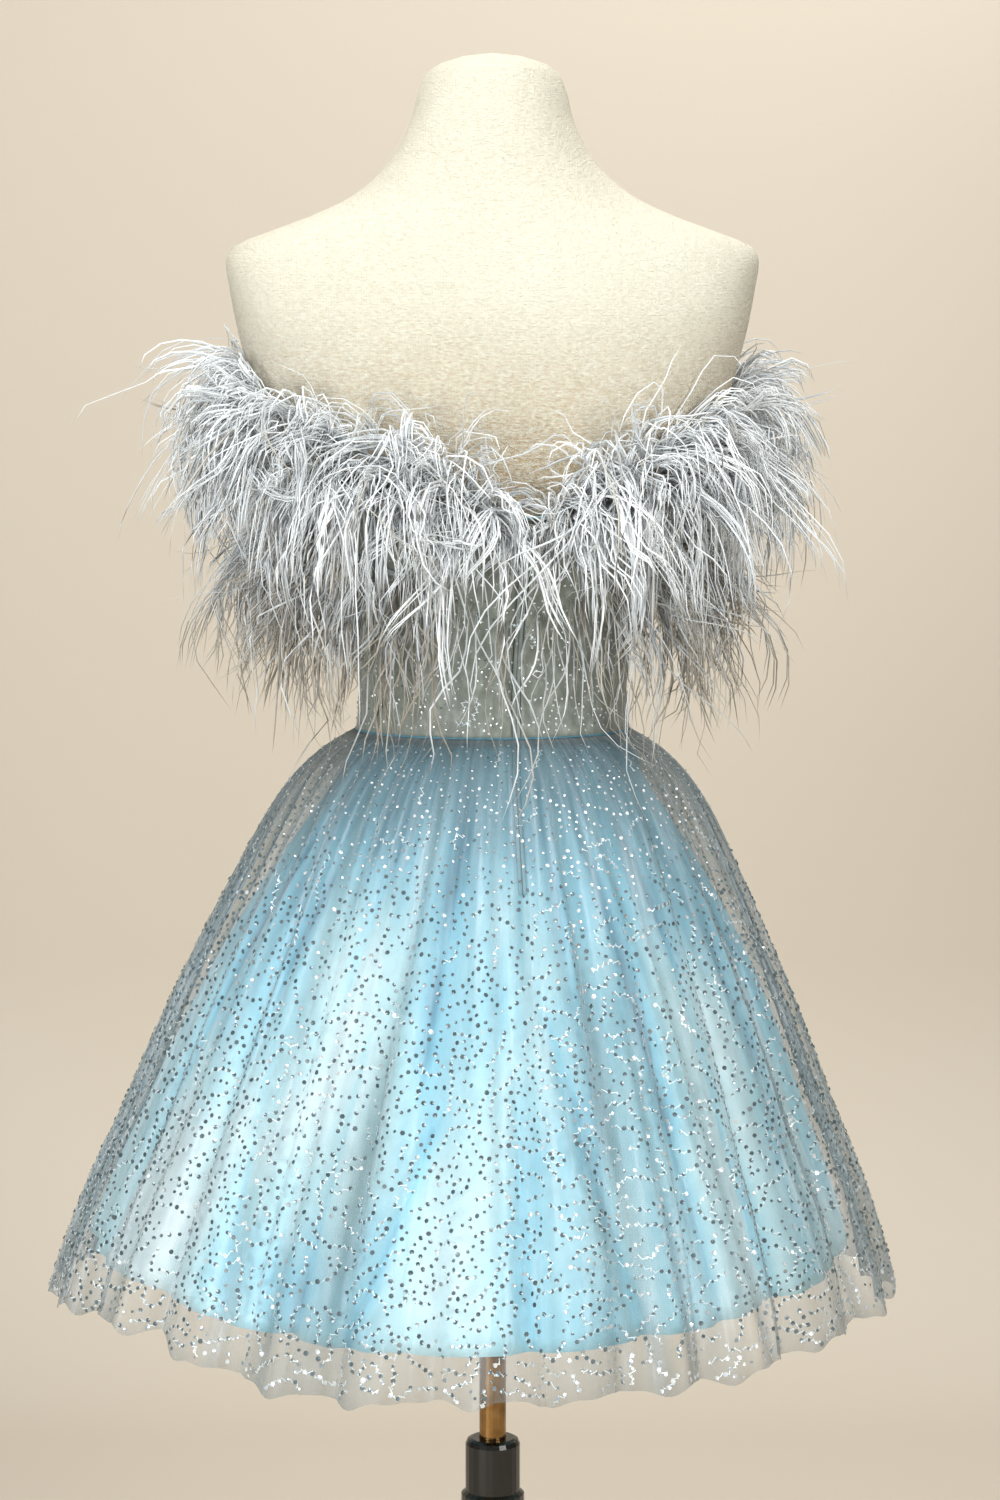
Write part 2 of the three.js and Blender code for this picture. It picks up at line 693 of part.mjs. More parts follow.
const dressOnForm = new THREE.Group();
dressOnForm.add(
  standBase(),
  standSleeve(),
  formPole(),
  formTorso(),
  bodicePanel("bodice_back_left", leftSeam, backSeam, half, zipHalfGap),
  bodicePanel("bodice_back_right", backSeam, rightSeam, zipHalfGap, half),
  bodicePanel("bodice_front", ...front, half, half),
  backZip(),
  zipSlider(),
  skirtPanel("underskirt_back_left", satinLayer, leftSeam, backSeam, "to"),
  skirtPanel("underskirt_back_right", satinLayer, backSeam, rightSeam, "from"),
  skirtPanel("underskirt_front", satinLayer, ...front),
  skirtPanel("net_skirt_back_left", netLayer, leftSeam, backSeam),
  skirtPanel("net_skirt_back_right", netLayer, backSeam, rightSeam),
  skirtPanel("net_skirt_front", netLayer, ...front),
);
for (const trim of trims) {
  dressOnForm.add(
    featherTrim(trim, "back_left", leftSeam, backSeam, half, tapeEndGap),
    featherTrim(trim, "back_right", backSeam, rightSeam, tapeEndGap, half),
    featherTrim(trim, "front", ...front, half, half),
  );
}

export default dressOnForm;
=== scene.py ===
import math

import bpy
import numpy as np
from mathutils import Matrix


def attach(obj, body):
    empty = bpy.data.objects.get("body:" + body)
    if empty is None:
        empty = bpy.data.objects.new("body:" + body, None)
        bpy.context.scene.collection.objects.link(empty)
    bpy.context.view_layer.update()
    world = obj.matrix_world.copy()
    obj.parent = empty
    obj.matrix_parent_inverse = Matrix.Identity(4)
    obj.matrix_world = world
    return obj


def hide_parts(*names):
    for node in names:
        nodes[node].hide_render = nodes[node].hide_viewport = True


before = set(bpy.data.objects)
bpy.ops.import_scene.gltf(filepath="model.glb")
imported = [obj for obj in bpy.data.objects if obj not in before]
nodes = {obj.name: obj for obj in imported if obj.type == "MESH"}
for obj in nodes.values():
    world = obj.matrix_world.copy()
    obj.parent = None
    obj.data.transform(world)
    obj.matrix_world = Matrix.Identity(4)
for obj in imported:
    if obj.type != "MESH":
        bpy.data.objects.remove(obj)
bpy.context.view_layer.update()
print("frame loaded:", len(nodes), "nodes")

# camera, light and floor

view = {
    "place": (0.006, -2.91, 1.344),
    "tiltDown": 6.62,
    "lens": 87.3,
}


def addCamera():
    data = bpy.data.cameras.new("camera")
    data.lens = view["lens"]
    data.sensor_width = 36
    camera = bpy.data.objects.new("camera", data)
    camera.location = view["place"]
    camera.rotation_euler = (math.radians(90 - view["tiltDown"]), 0, 0)
    bpy.context.scene.collection.objects.link(camera)
    bpy.context.scene.camera = camera


addCamera()


def feed(tree, socket, value):
    # another node's socket is linked, anything else is set
    if isinstance(value, bpy.types.NodeSocket):
        tree.links.new(value, socket)
    elif value is not None:
        socket.default_value = value


def addNode(tree, kind, *inOrder, **named):
    # inOrder feeds the first sockets; named feeds the socket of that name or sets a property
    made = tree.nodes.new(kind)
    for name, value in named.items():
        if name in made.inputs.keys():
            feed(tree, made.inputs[name], value)
        else:
            setattr(made, name, value)
    for socket, value in zip(made.inputs, inOrder):
        feed(tree, socket, value)
    return made


studio = {
    "wall": (0.60, 0.535, 0.445),
    "air": (0.86, 0.91, 0.98),
    "airStrength": 0.30,
    "lamps": [
        # name, place, aims at, size, watts, colour
        ("topLamp", (-0.3, -0.9, 3.3), (0, 0, 1.0), 1.3, 50, (1.0, 1.0, 0.95)),
        ("skirtLamp", (-1.5, -2.2, 0.7), (0, 0, 0.66), 1.0, 50, (0.97, 0.995, 1.0)),
        ("rightLamp", (1.6, -2.0, 1.8), (0, 0, 1.1), 1.0, 39, (1.0, 0.995, 0.96)),
        ("wallLamp", (-0.4, 0.4, 3.0), (-0.2, 2.0, 0.6), 2.0, 8.5, (1.0, 0.975, 0.95)),
        ("frontLamp", (0.5, 1.5, 2.4), (0, 0, 0.95), 1.6, 20, (1.0, 0.99, 0.97)),
    ],
}


def makeStage():
    # a floor that curves up into the wall behind
    floorEnd, bend, wallTop, reach = 1.4, 0.5, 4.2, 14.0
    profile = [(-reach, 0.0), (floorEnd, 0.0)]
    for step in range(1, 13):
        turn = math.radians(7.5 * step)
        profile.append((floorEnd + bend * math.sin(turn), bend * (1 - math.cos(turn))))
    profile.append((floorEnd + bend, wallTop))
    points = [(x, y, z) for y, z in profile for x in (-reach, reach)]
    faces = [(2 * i, 2 * i + 1, 2 * i + 3, 2 * i + 2) for i in range(len(profile) - 1)]
    mesh = bpy.data.meshes.new("studioFloor")
    mesh.from_pydata(points, [], faces)
    for face in mesh.polygons:
        face.use_smooth = True
    floor = bpy.data.objects.new("studioFloor", mesh)
    bpy.context.scene.collection.objects.link(floor)
    paint = bpy.data.materials.new("wallPaint")
    paint.use_nodes = True
    tree = paint.node_tree
    shader = tree.nodes["Principled BSDF"]
    feed(tree, shader.inputs["Base Color"], (*studio["wall"], 1))
    feed(tree, shader.inputs["Roughness"], 0.9)
    # the wall shows from its painted side only, so that the dress can be seen from behind it
    behind = addNode(tree, "ShaderNodeNewGeometry").outputs["Backfacing"]
    clear = addNode(tree, "ShaderNodeBsdfTransparent").outputs[0]
    either = addNode(tree, "ShaderNodeMixShader", behind, shader.outputs[0], clear)
    feed(tree, tree.nodes["Material Output"].inputs["Surface"], either.outputs[0])
    mesh.materials.append(paint)


def makeLight():
    world = bpy.data.worlds.new("air")
    world.use_nodes = True
    air = world.node_tree.nodes["Background"]
    air.inputs["Color"].default_value = (*studio["air"], 1)
    air.inputs["Strength"].default_value = studio["airStrength"]
    bpy.context.scene.world = world
    for name, place, aim, size, watts, colour in studio["lamps"]:
        data = bpy.data.lights.new(name, "AREA")
        data.shape = "DISK"
        data.size = size
        data.energy = watts
        data.color = colour
        lamp = bpy.data.objects.new(name, data)
        lamp.location = place
        away = np.array(place) - np.array(aim)
        flat = math.hypot(away[0], away[1])
        lamp.rotation_euler = (math.atan2(flat, away[2]), 0, math.atan2(away[0], -away[1]))
        bpy.context.scene.collection.objects.link(lamp)
    bpy.context.scene.view_settings.view_transform = "Standard"


makeStage()
makeLight()
print("camera, light and floor made")

# the dress's sizes, in millimetres, as the frame has them

dress = {
    "waist": 1024.0,
    "waistRadius": 84.0,  # at the zip, to turn a width along the cloth into degrees
    "netHem": 564.0,
    "satinHem": 600.0,
    "backSeam": 10.0,
    "ease": 1.2,
    "bodiceThick": 2.0,
    "seamGap": 0.3,
    "zipWidth": 5.4,
    "zipFoot": 911.0,
    "netLean": -18.0,
    "satinLean": -24.0,
    "gatherDepth": 1.0,
    "gatherFade": 0.22,
    "bustAside": 66.0,  # the fullest of the bust, from the middle
    "bustWidth": 62.0,
}

# z, half width, depth behind, depth in front, middle, squareness, bust
formRows = np.array([
    (748, 96, 60, 54, -8, 2.2, 0),
    (760, 138, 88, 79, -8, 2.3, 0),
    (790, 160, 103, 90, -8, 2.3, 0),
    (832, 166, 107, 93, -6, 2.2, 0),
    (880, 158, 101, 92, -2, 2.1, 0),
    (932, 137, 91, 90, 0, 2, 0),
    (980, 117, 84, 88, 2, 2, 0),
    (1024, 107, 80, 86, 3, 2, 0),
    (1060, 105, 80, 88, 4, 2, 0),
    (1100, 110, 84, 92, 3, 2.05, 1),
    (1140, 122, 90, 96, 0, 2.1, 6),
    (1180, 140, 97, 99, -2, 2.2, 17),
    (1215, 156, 102, 100, -4, 2.3, 24),
    (1258, 174, 106, 96, -8, 2.4, 18),
    (1288, 186, 106, 92, -12, 2.5, 12),
    (1340, 200, 98, 78, -20, 2.6, 2),
    (1378, 207, 86, 65, -24, 2.6, 0),
    (1398, 209, 78, 61, -24, 2.5, 0),
    (1409, 201, 74, 59, -22, 2.4, 0),
    (1419, 176, 72, 59, -20, 2.2, 0),
    (1431, 144, 70, 59, -16, 2, 0),
    (1447, 111, 66, 59, -10, 2, 0),
    (1470, 85, 60, 57, -4, 2, 0),
    (1502, 66, 55, 56, 2, 2, 0),
    (1534, 57, 50, 52, 8, 2, 0),
    (1549, 47, 42, 44, 10, 2, 0),
    (1557, 24, 21, 22, 11, 2, 0),
], float)
# angle from the centre back, height of the top edge
topEdgeRows = np.array([
    (0, 1197), (28, 1222), (55, 1243), (80, 1270), (105, 1282), (135, 1284), (160, 1276), (180, 1266),
], float)
# z, half width, depth behind, depth in front, middle, how far outside it the net hangs
skirtRows = np.array([
    (1024, 108.2, 81.2, 87.2, 3, 1.3),
    (1008, 113.5, 86.5, 91.5, 2, 21.5),
    (986, 121, 94, 98, 2, 36),
    (955, 141, 115, 118, 1, 36),
    (909, 171, 146, 148, 0, 29),
    (863, 198, 174, 175, 0, 24),
    (812, 223, 200, 200, 0, 22),
    (761, 245, 222, 221, 0, 21),
    (715, 263, 240, 238, 0, 21),
    (664, 284, 260, 257, 0, 22),
    (600, 307, 281, 278, 0, 21),
    (540, 328, 300, 297, 0, 15),
], float)
# angle, how deep the crease and how far the bulge, how far the hem is lifted
netCreases = np.array([
    (-80, 7, 4), (-62, 10, 18), (-46, 9, 20), (-31, 13, 2), (-17, 10, -8), (-4, 9, -4), (10, 10, -6),
    (20, 8, -2), (32, 11, -4), (46, 12, 4), (62, 9, 8), (80, 9, 2), (100, 8, -4), (115, 10, 2),
    (131, 12, 8), (147, 9, 0), (162, 11, -5), (178, 10, 3), (193, 9, -4), (208, 7, 6), (224, 9, 1),
    (240, 8, -6), (255, 9, 2), (267, 8, 0), (280, 7, 4),
], float)
satinCreases = np.array([
    (-80, 4, 16), (-50, 6, 8), (-25, 7, -6), (-8, 6, -12), (10, 5, -12), (26, 6, -8), (50, 7, 0),
    (76, 6, 5), (100, 5, 4), (127, 7, -2), (153, 6, 3), (180, 7, -3), (207, 6, 2), (233, 7, 0),
    (257, 5, 8), (280, 4, 16),
], float)
# soft troughs in the satin: angle at the waist, angle at the hem, from and to shares of the way down,
# half width in degrees, depth
satinTroughs = [
    (-8, -11, 0.02, 0.62, 2.0, 5.0), (10, -15.5, 0.55, 1.1, 1.3, 5.0), (-18, -25, 0.4, 1.1, 1.5, 4.5),
    (-50, -36, 0.45, 1.1, 1.8, 4.0), (-27, -33, 0.0, 0.5, 2.0, 4.5), (-44, -52, 0.15, 0.8, 2.4, 4.0),
    (2, 27, 0.35, 1.1, 1.7, 5.0), (29, 39, 0.05, 1.1, 1.6, 5.5), (18, 22, 0.0, 0.4, 1.8, 4.0),
    (6, 9, 0.5, 1.1, 1.4, 3.5), (46, 52, 0.1, 1.1, 2.2, 5.0), (62, 68, 0.3, 1.0, 2.4, 4.5),
    (76, 82, 0.2, 0.9, 2.4, 4.0), (92, 98, 0.0, 1.1, 2.2, 5.0), (118, 112, 0.1, 0.9, 2.6, 4.5),
    (138, 146, 0.2, 1.1, 2.0, 4.0), (160, 156, 0.0, 0.8, 2.2, 5.0), (176, 182, 0.3, 1.1, 2.0, 4.0),
    (196, 203, 0.1, 1.1, 2.4, 5.0), (215, 222, 0.2, 1.1, 2.0, 4.5), (238, 232, 0.0, 0.9, 2.4, 5.0),
    (252, 258, 0.3, 1.1, 2.2, 4.0), (-64, -70, 0.1, 1.1, 2.4, 4.5),
]
# painted highlights: paler panels of the satin, where the cloth turns up to the light: as above, with how
# much paler
satinPanels = [
    (-52, -56, 0.5, 1.1, 16, 0.62), (-30, -25, 0.2, 0.86, 15, 0.46), (6, -2, 0.5, 1.1, 9, 0.36),
    (8, 12, 0.2, 0.62, 8, 0.26), (44, 50, 0.3, 1.1, 12, 0.38), (22, 27, 0.55, 1.1, 4, 0.18),
    (72, 75, 0.4, 1.1, 8, 0.30), (104, 105, 0.4, 1.1, 11, 0.42), (128, 130, 0.3, 0.8, 8, 0.30),
    (150, 152, 0.5, 1.1, 13, 0.42), (170, 168, 0.25, 0.7, 8, 0.28), (190, 192, 0.5, 1.1, 11, 0.45),
    (226, 226, 0.4, 1.1, 14, 0.40), (252, 250, 0.3, 0.9, 8, 0.30), (-80, -82, 0.4, 1.0, 8, 0.30),
]
# and in the net
netTroughs = [
    (-13, -20, 0.0, 0.9, 1.6, 4.0), (16, 25, 0.0, 1.0, 1.1, 4.5), (33, 42, 0.1, 1.0, 1.3, 4.5),
    (-35, -34, 0.0, 1.0, 1.4, 4.0), (1, 4, 0.1, 0.8, 1.1, 3.0), (-24, -27, 0.35, 1.0, 1.2, 3.5),
    (-52, -56, 0.0, 1.0, 1.8, 4.0), (24, 30, 0.4, 1.0, 1.0, 3.5), (55, 66, 0.0, 1.0, 1.6, 4.5),
    (74, 84, 0.3, 1.0, 1.6, 4.0), (96, 104, 0.0, 0.9, 1.5, 4.5), (121, 120, 0.1, 1.0, 1.6, 4.0),
    (142, 137, 0.0, 1.0, 1.3, 4.0), (158, 167, 0.2, 1.0, 1.5, 4.5), (186, 184, 0.0, 0.9, 1.4, 4.0),
    (203, 210, 0.1, 1.0, 1.6, 4.0), (226, 231, 0.2, 1.0, 1.4, 4.0), (246, 249, 0.0, 1.0, 1.7, 4.5),
    (262, 259, 0.4, 1.0, 1.3, 3.5), (-72, -74, 0.1, 0.9, 1.6, 4.0), (-42, -47, 0.2, 0.9, 1.2, 3.0),
]
# where the net hangs in more than one layer: as the satin's panels, with how much closer it looks
netPanels = [
    (-15, -22, 0.45, 1.1, 9, 0.42), (20, 25, 0.25, 1.1, 11, 0.34), (52, 56, 0.3, 1.1, 7, 0.25),
    (-62, -66, 0.5, 1.1, 8, 0.25), (98, 104, 0.4, 1.1, 10, 0.35), (140, 144, 0.5, 1.1, 9, 0.30),
    (176, 180, 0.3, 1.1, 9, 0.35), (214, 218, 0.5, 1.1, 10, 0.40), (250, 254, 0.4, 1.1, 8, 0.30),
]
# fine waves round the cloth: seed, how many, how deep
fineWaves = {
    "netHem": (9, (29, 43, 71), (2.4, 1.8, 1.2)),
    "net": (5, (23, 41, 67), (1.2, 0.7, 0.4)),
    "satin": (3, (17, 29, 47), (1.0, 0.4, 0.15)),
    "bodice": (11, (9, 17, 29), (0.15, 0.12, 0.1)),
}


def unit(vector):
    return vector / np.maximum(np.linalg.norm(vector, axis=-1, keepdims=True), 1e-6)


def turned(angle, at):
    # degrees round from a direction, between -180 and 180
    return (angle - at + 540) % 360 - 180


def fromBack(angle):
    # degrees from the dress's centre back
    return np.abs(turned(np.asarray(angle, float), dress["backSeam"]))


def wayDown(z, hem="netHem"):
    # the share of the way from the waist down to a hem
    return (dress["waist"] - z) / (dress["waist"] - dress[hem])


def fade(value, start, length):
    # 0 up to the start, 1 from a length past it; a length below zero fades the other way
    return np.clip((value - start) / length, 0, 1)


def smoothRows(table, value):
    # every column of a table at each value of its first column, along a smooth curve
    rows = table if table[1, 0] > table[0, 0] else table[::-1]
    value = np.asarray(value, float)
    i = np.clip(np.searchsorted(rows[:, 0], value, side="right") - 1, 0, len(rows) - 2)
    a, b = rows[i], rows[i + 1]
    before, after = rows[np.maximum(i - 1, 0)], rows[np.minimum(i + 2, len(rows) - 1)]
    share = np.clip((value - a[..., 0]) / (b[..., 0] - a[..., 0]), 0, 1)[..., None]
    span = (b[..., 0] - a[..., 0])[..., None]
    slopeA = (b - before) / (b[..., 0] - before[..., 0])[..., None]
    slopeB = (after - a) / (after[..., 0] - a[..., 0])[..., None]
    bend = (1 - share) * share * (slopeA * span - b + a)
    bendBack = (1 - share) * share * (b - a - slopeB * span)
    out = a + (b - a) * share + (1 - share) * bend + share * bendBack
    return np.moveaxis(out, -1, 0)


def sectionPoint(angle, half, back, front, middle, square, z):
    s, c = np.sin(np.radians(angle)), -np.cos(np.radians(angle))
    power = 2 / square
    depth = np.where(c < 0, back, front)
    x = np.sign(s) * np.abs(s) ** power * half
    y = np.sign(c) * np.abs(c) ** power * depth + middle
    return np.stack(np.broadcast_arrays(x, y, z), -1)


def formPoint(angle, z, grow=0.0, spanned=True):
    # spanned: as cloth goes, straight from one side of the bust to the other
    angle, z = np.broadcast_arrays(np.asarray(angle, float), np.asarray(z, float))
    _, half, back, front, middle, square, bust = smoothRows(formRows, z)
    point = sectionPoint(angle, half + grow, back + grow, front + grow, middle, square, z)
    facing = np.clip((point[..., 1] - middle) / (0.6 * front), 0, 1)
    aside = np.abs(point[..., 0]) - dress["bustAside"]
    if spanned:
        aside = np.maximum(aside, 0)
    point[..., 1] += bust * facing * np.exp(-((aside / dress["bustWidth"]) ** 2))
    return point


def topEdge(angle):
    return np.interp(fromBack(angle), topEdgeRows[:, 0], topEdgeRows[:, 1])


def ripples(angle, where, drift=0.0):
    # fine waves that close on themselves round the body
    seed, counts, depths = fineWaves[where]
    maker = np.random.default_rng(seed)
    total = 0.0
    for count, depth in zip(counts, depths):
        phase, slide = maker.uniform(0, 6.28), maker.uniform(-1, 1)
        total = total + depth * np.sin(np.radians(angle) * count + phase + drift * slide)
    return total


def creaseAt(creases, angle):
    # how far across its fold an angle lies, how far out the fold is there, how far the hem is lifted
    first = creases[0, 0]
    turn = first + (np.asarray(angle, float) - first) % 360
    i = np.clip(np.searchsorted(creases[:, 0], turn, side="right") - 1, 0, len(creases) - 2)
    a, b = creases[i], creases[i + 1]
    across = (turn - a[..., 0]) / (b[..., 0] - a[..., 0])
    depth = a[..., 1] + (b[..., 1] - a[..., 1]) * across
    hem = a[..., 2] + (b[..., 2] - a[..., 2]) * across
    return across, depth * (2 * np.sin(np.pi * across) ** 0.8 - 1), hem


def satinHemAt(angle):
    return dress["satinHem"] + creaseAt(satinCreases, angle)[2]


def netHemAt(angle):
    return dress["netHem"] + creaseAt(netCreases, angle)[2] + ripples(angle, "netHem")


def bandsAt(bands, angle, down, fadeIn, fadeOut):
    # for each band down a skirt: degrees from its middle, its half width, and how much of it there is here
    for waistAt, hemAt, start, end, wide, much in bands:
        middle = waistAt + (hemAt - waistAt) * np.clip(down, 0, 1)
        share = fade(down, start, fadeIn) * fade(down, end + 0.06, -fadeOut)
        yield turned(angle, middle), wide, much * share


def troughsAt(troughs, angle, down):
    # each one a hollow with a soft ridge on both sides
    out = 0.0
    for away, wide, depth in bandsAt(troughs, angle, down, 0.12, 0.14):
        away = away / wide
        out = out - depth * (np.exp(-(away**2)) - 0.45 * np.exp(-((np.abs(away) - 2.1) ** 2)))
    return out


def panelsAt(panels, angle, down):
    out = 0.0
    for away, wide, amount in bandsAt(panels, angle, down, 0.2, 0.2):
        out = out + amount * np.exp(-((away / (wide * (0.6 + 0.4 * down))) ** 4))
    return out


def skirtPoint(angle, z, out, half, back, front, middle, lean):
    point = sectionPoint(angle, half + out, back + out, front + out, middle, 2.0, z)
    point[..., 0] += lean * wayDown(z)
    return point


def satinPoint(angle, z, grow=0.0):
    angle, z = np.broadcast_arrays(np.asarray(angle, float), np.asarray(z, float))
    down = wayDown(z, "satinHem")
    _, half, back, front, middle, _ = smoothRows(skirtRows, z)
    _, fold, _ = creaseAt(satinCreases, angle)
    out = grow + fold * down + np.clip(5 * down, 0, 1) * troughsAt(satinTroughs, angle, down)
    out = out + np.clip(6 * down, 0, 1) * ripples(angle, "satin", 5 * down)
    return skirtPoint(angle, z, out, half, back, front, middle, dress["satinLean"])


def netPoint(angle, z, grow=0.0):
    angle, z = np.broadcast_arrays(np.asarray(angle, float), np.asarray(z, float))
    down = np.maximum(0, wayDown(z))
    _, half, back, front, middle, standOff = smoothRows(skirtRows, z)
    across, fold, _ = creaseAt(netCreases, angle)
    gather = np.minimum(1, 25 * down) * np.exp(-down / dress["gatherFade"]) * dress["gatherDepth"]
    out = grow + standOff - gather * np.cos(4 * np.pi * across) + fold * down**0.8
    out = out + np.clip(6 * down, 0, 1) * troughsAt(netTroughs, angle, down)
    out = out + np.clip(8 * down, 0, 1) * (0.4 + 0.6 * down) * ripples(angle, "net", 6 * down)
    return skirtPoint(angle, z, out, half, back, front, middle, dress["netLean"])


# node groups and materials


def makeGroup(name, inputs, outputs):
    tree = bpy.data.node_groups.new(name, "ShaderNodeTree")
    for socket, kind, value in inputs:
        made = tree.interface.new_socket(socket, in_out="INPUT", socket_type="NodeSocket" + kind)
        if value is not None:
            made.default_value = value
    for socket in outputs:
        tree.interface.new_socket(socket, in_out="OUTPUT", socket_type="NodeSocketFloat")
    return tree, tree.nodes.new("NodeGroupInput").outputs, tree.nodes.new("NodeGroupOutput").inputs


def maths(tree, operation, *inOrder, clamp=False):
    return addNode(tree, "ShaderNodeMath", *inOrder, operation=operation, use_clamp=clamp).outputs[0]


def vectorMaths(tree, operation, *inOrder):
    return addNode(tree, "ShaderNodeVectorMath", *inOrder, operation=operation).outputs[0]


def spreadOut(tree, *inOrder):
    # value, from low, from high, to low, to high
    return addNode(tree, "ShaderNodeMapRange", *inOrder).outputs["Result"]


def noise(tree, place, scale, detail=None, roughness=None):
    made = addNode(tree, "ShaderNodeTexNoise", Vector=place, Scale=scale, Detail=detail, Roughness=roughness)
    return made.outputs["Fac"]


def makeSlubGroup():
    # long thin streaks: two noises stretched along one direction, as a mask and a height
    tree, given, result = makeGroup(
        "slubStreaks",
        [("Place", "Vector", None), ("Stretch", "Vector", (60, 60, 900)), ("Detail", "Float", 3.0)],
        ["Mask", "Height"],
    )
    scaled = vectorMaths(tree, "MULTIPLY", given["Place"], given["Stretch"])
    broad = noise(tree, scaled, 1.0, given["Detail"], 0.55)
    fine = noise(tree, scaled, 2.7, roughness=0.6)
    feed(tree, result["Mask"], spreadOut(tree, broad, 0.32, 0.68))
    feed(tree, result["Height"], maths(tree, "ADD", broad, fine))
    return tree


def makeWeaveGroup():
    # two crossing sets of threads
    tree, given, result = makeGroup(
        "plainWeave", [("Place", "Vector", None), ("Threads", "Float", 900.0)], ["Height"])
    scaled = vectorMaths(tree, "SCALE", given["Place"], None, None, given["Threads"])
    parts = addNode(tree, "ShaderNodeSeparateXYZ", scaled).outputs
    waves = [maths(tree, "ABSOLUTE", maths(tree, "SINE", parts[axis])) for axis in (0, 1)]
    feed(tree, result["Height"], maths(tree, "MAXIMUM", *waves))
    return tree


slubStreaks = makeSlubGroup()
plainWeave = makeWeaveGroup()


def newMaterial(name, roughness, **sockets):
    material = bpy.data.materials.new(name)
    material.use_nodes = True
    shader = material.node_tree.nodes["Principled BSDF"].inputs
    shader["Roughness"].default_value = roughness
    for socket, value in sockets.items():
        shader[socket.replace("_", " ")].default_value = value
    return material, material.node_tree, shader


def clothPlace(tree):
    # metres along and up the cloth
    return addNode(tree, "ShaderNodeUVMap", uv_map="cloth").outputs["UV"]


def partPlace(tree):
    # metres from the part's origin
    return addNode(tree, "ShaderNodeTexCoord").outputs["Object"]


def perPoint(tree, name):
    return addNode(tree, "ShaderNodeAttribute", attribute_name=name).outputs["Fac"]


def placed(tree, group, **values):
    return addNode(tree, "ShaderNodeGroup", node_tree=group, **values).outputs


def turnedEdge(tree, blend):
    # 0 where a surface is seen straight on, 1 at its turned edges
    return addNode(tree, "ShaderNodeLayerWeight", Blend=blend).outputs["Facing"]


def ramp(tree, stops, share):
    made = addNode(tree, "ShaderNodeValToRGB", share)
    bar = made.color_ramp
    while len(bar.elements) < len(stops):
        bar.elements.new(0.5)
    for element, (where, colour) in zip(bar.elements, stops):
        element.position = where
        element.color = (*colour, 1)
    return made.outputs["Color"]


def mixedFloat(tree, share, first, second):
    return addNode(tree, "ShaderNodeMix", share, None, first, second, data_type="FLOAT").outputs[0]


def addRelief(tree, shader, height, strength, distance):
    bump = addNode(tree, "ShaderNodeBump", Height=height, Strength=strength, Distance=distance)
    feed(tree, shader["Normal"], bump.outputs["Normal"])


linenLook = {
    "colours": [(0.0, (0.76, 0.69, 0.53)), (0.35, (0.88, 0.84, 0.69)), (0.65, (0.925, 0.893, 0.75)),
                (1.0, (0.96, 0.94, 0.845))],
    # painted shade: a warm tan over the lower part and the turned edges, with the heights and shares that lay
    # it on
    "tan": (0.58, 0.38, 0.19),
    "shadeFrom": 1.37,  # heights in metres between which it comes in
    "tanTo": 1.17,
    "shadeSpecks": (1.2, 0.1),  # how much of it, between the streaks and on them
    "edgeShade": 0.22,
    "grain": (230, 230, 560),
    "weave": 1500,
    "weaveRelief": 0.2,
    "relief": 1.0,
}


def makeLinen():
    material, tree, shader = newMaterial("linen", 0.92, Sheen_Weight=0.15)
    place = partPlace(tree)
    grain = placed(tree, slubStreaks, Place=place, Stretch=linenLook["grain"], Detail=2)
    shade = mixedFloat(tree, 0.5, grain["Mask"], noise(tree, place, 9.0, 3.0))
    colour = ramp(tree, linenLook["colours"], shade)
    across, _, height = addNode(tree, "ShaderNodeSeparateXYZ", place).outputs
    # painted shade: a warm tan towards the lower part and the turned edges, where less light falls, broken up
    # by the grain
    lower = spreadOut(tree, height, linenLook["shadeFrom"], linenLook["tanTo"])
    specks = spreadOut(tree, grain["Mask"], 0, 1, *linenLook["shadeSpecks"])
    spotted = maths(tree, "MULTIPLY", lower, specks)
    paintedShade = maths(tree, "MULTIPLY_ADD", turnedEdge(tree, 0.35), linenLook["edgeShade"], spotted, clamp=True)
    tinted = addNode(tree, "ShaderNodeMix", paintedShade, data_type="RGBA")
    feed(tree, tinted.inputs[6], colour)
    feed(tree, tinted.inputs[7], (*linenLook["tan"], 1))
    feed(tree, shader["Base Color"], tinted.outputs[2])
    upright = addNode(tree, "ShaderNodeCombineXYZ", across, height).outputs[0]
    weave = placed(tree, plainWeave, Place=upright, Threads=linenLook["weave"])
    total = maths(tree, "MULTIPLY_ADD", weave["Height"], linenLook["weaveRelief"], grain["Height"])
    addRelief(tree, shader, total, linenLook["relief"], 0.0035)
    return material


satinLook = {
    "colours": [(0.0, (0.05, 0.22, 0.35)), (0.3, (0.34, 0.73, 0.91)), (0.6, (0.60, 0.905, 0.985)),
                (0.86, (0.83, 0.96, 1.0))],
    "streak": (26, 3, 1),
    "streakShare": 0.15,
    "cloud": (17, 13, 1),
    "cloudShare": 0.17,
    "roughness": 0.44,
}


def makeSatin():
    material, tree, shader = newMaterial(
        "skirtSatin", satinLook["roughness"], Sheen_Weight=0.2, Specular_IOR_Level=0.6)
    cloth = clothPlace(tree)
    streak = placed(tree, slubStreaks, Place=cloth, Stretch=satinLook["streak"], Detail=3)
    cloud = placed(tree, slubStreaks, Place=cloth, Stretch=satinLook["cloud"], Detail=2)
    # the satin's colour follows its painted light and shade, with streaks and clouds
    streaked = mixedFloat(tree, satinLook["streakShare"], perPoint(tree, "bloom"), streak["Mask"])
    shade = mixedFloat(tree, satinLook["cloudShare"], streaked, cloud["Mask"])
    feed(tree, shader["Base Color"], ramp(tree, satinLook["colours"], shade))
    addRelief(tree, shader, streak["Height"], 0.2, 0.001)
    return material


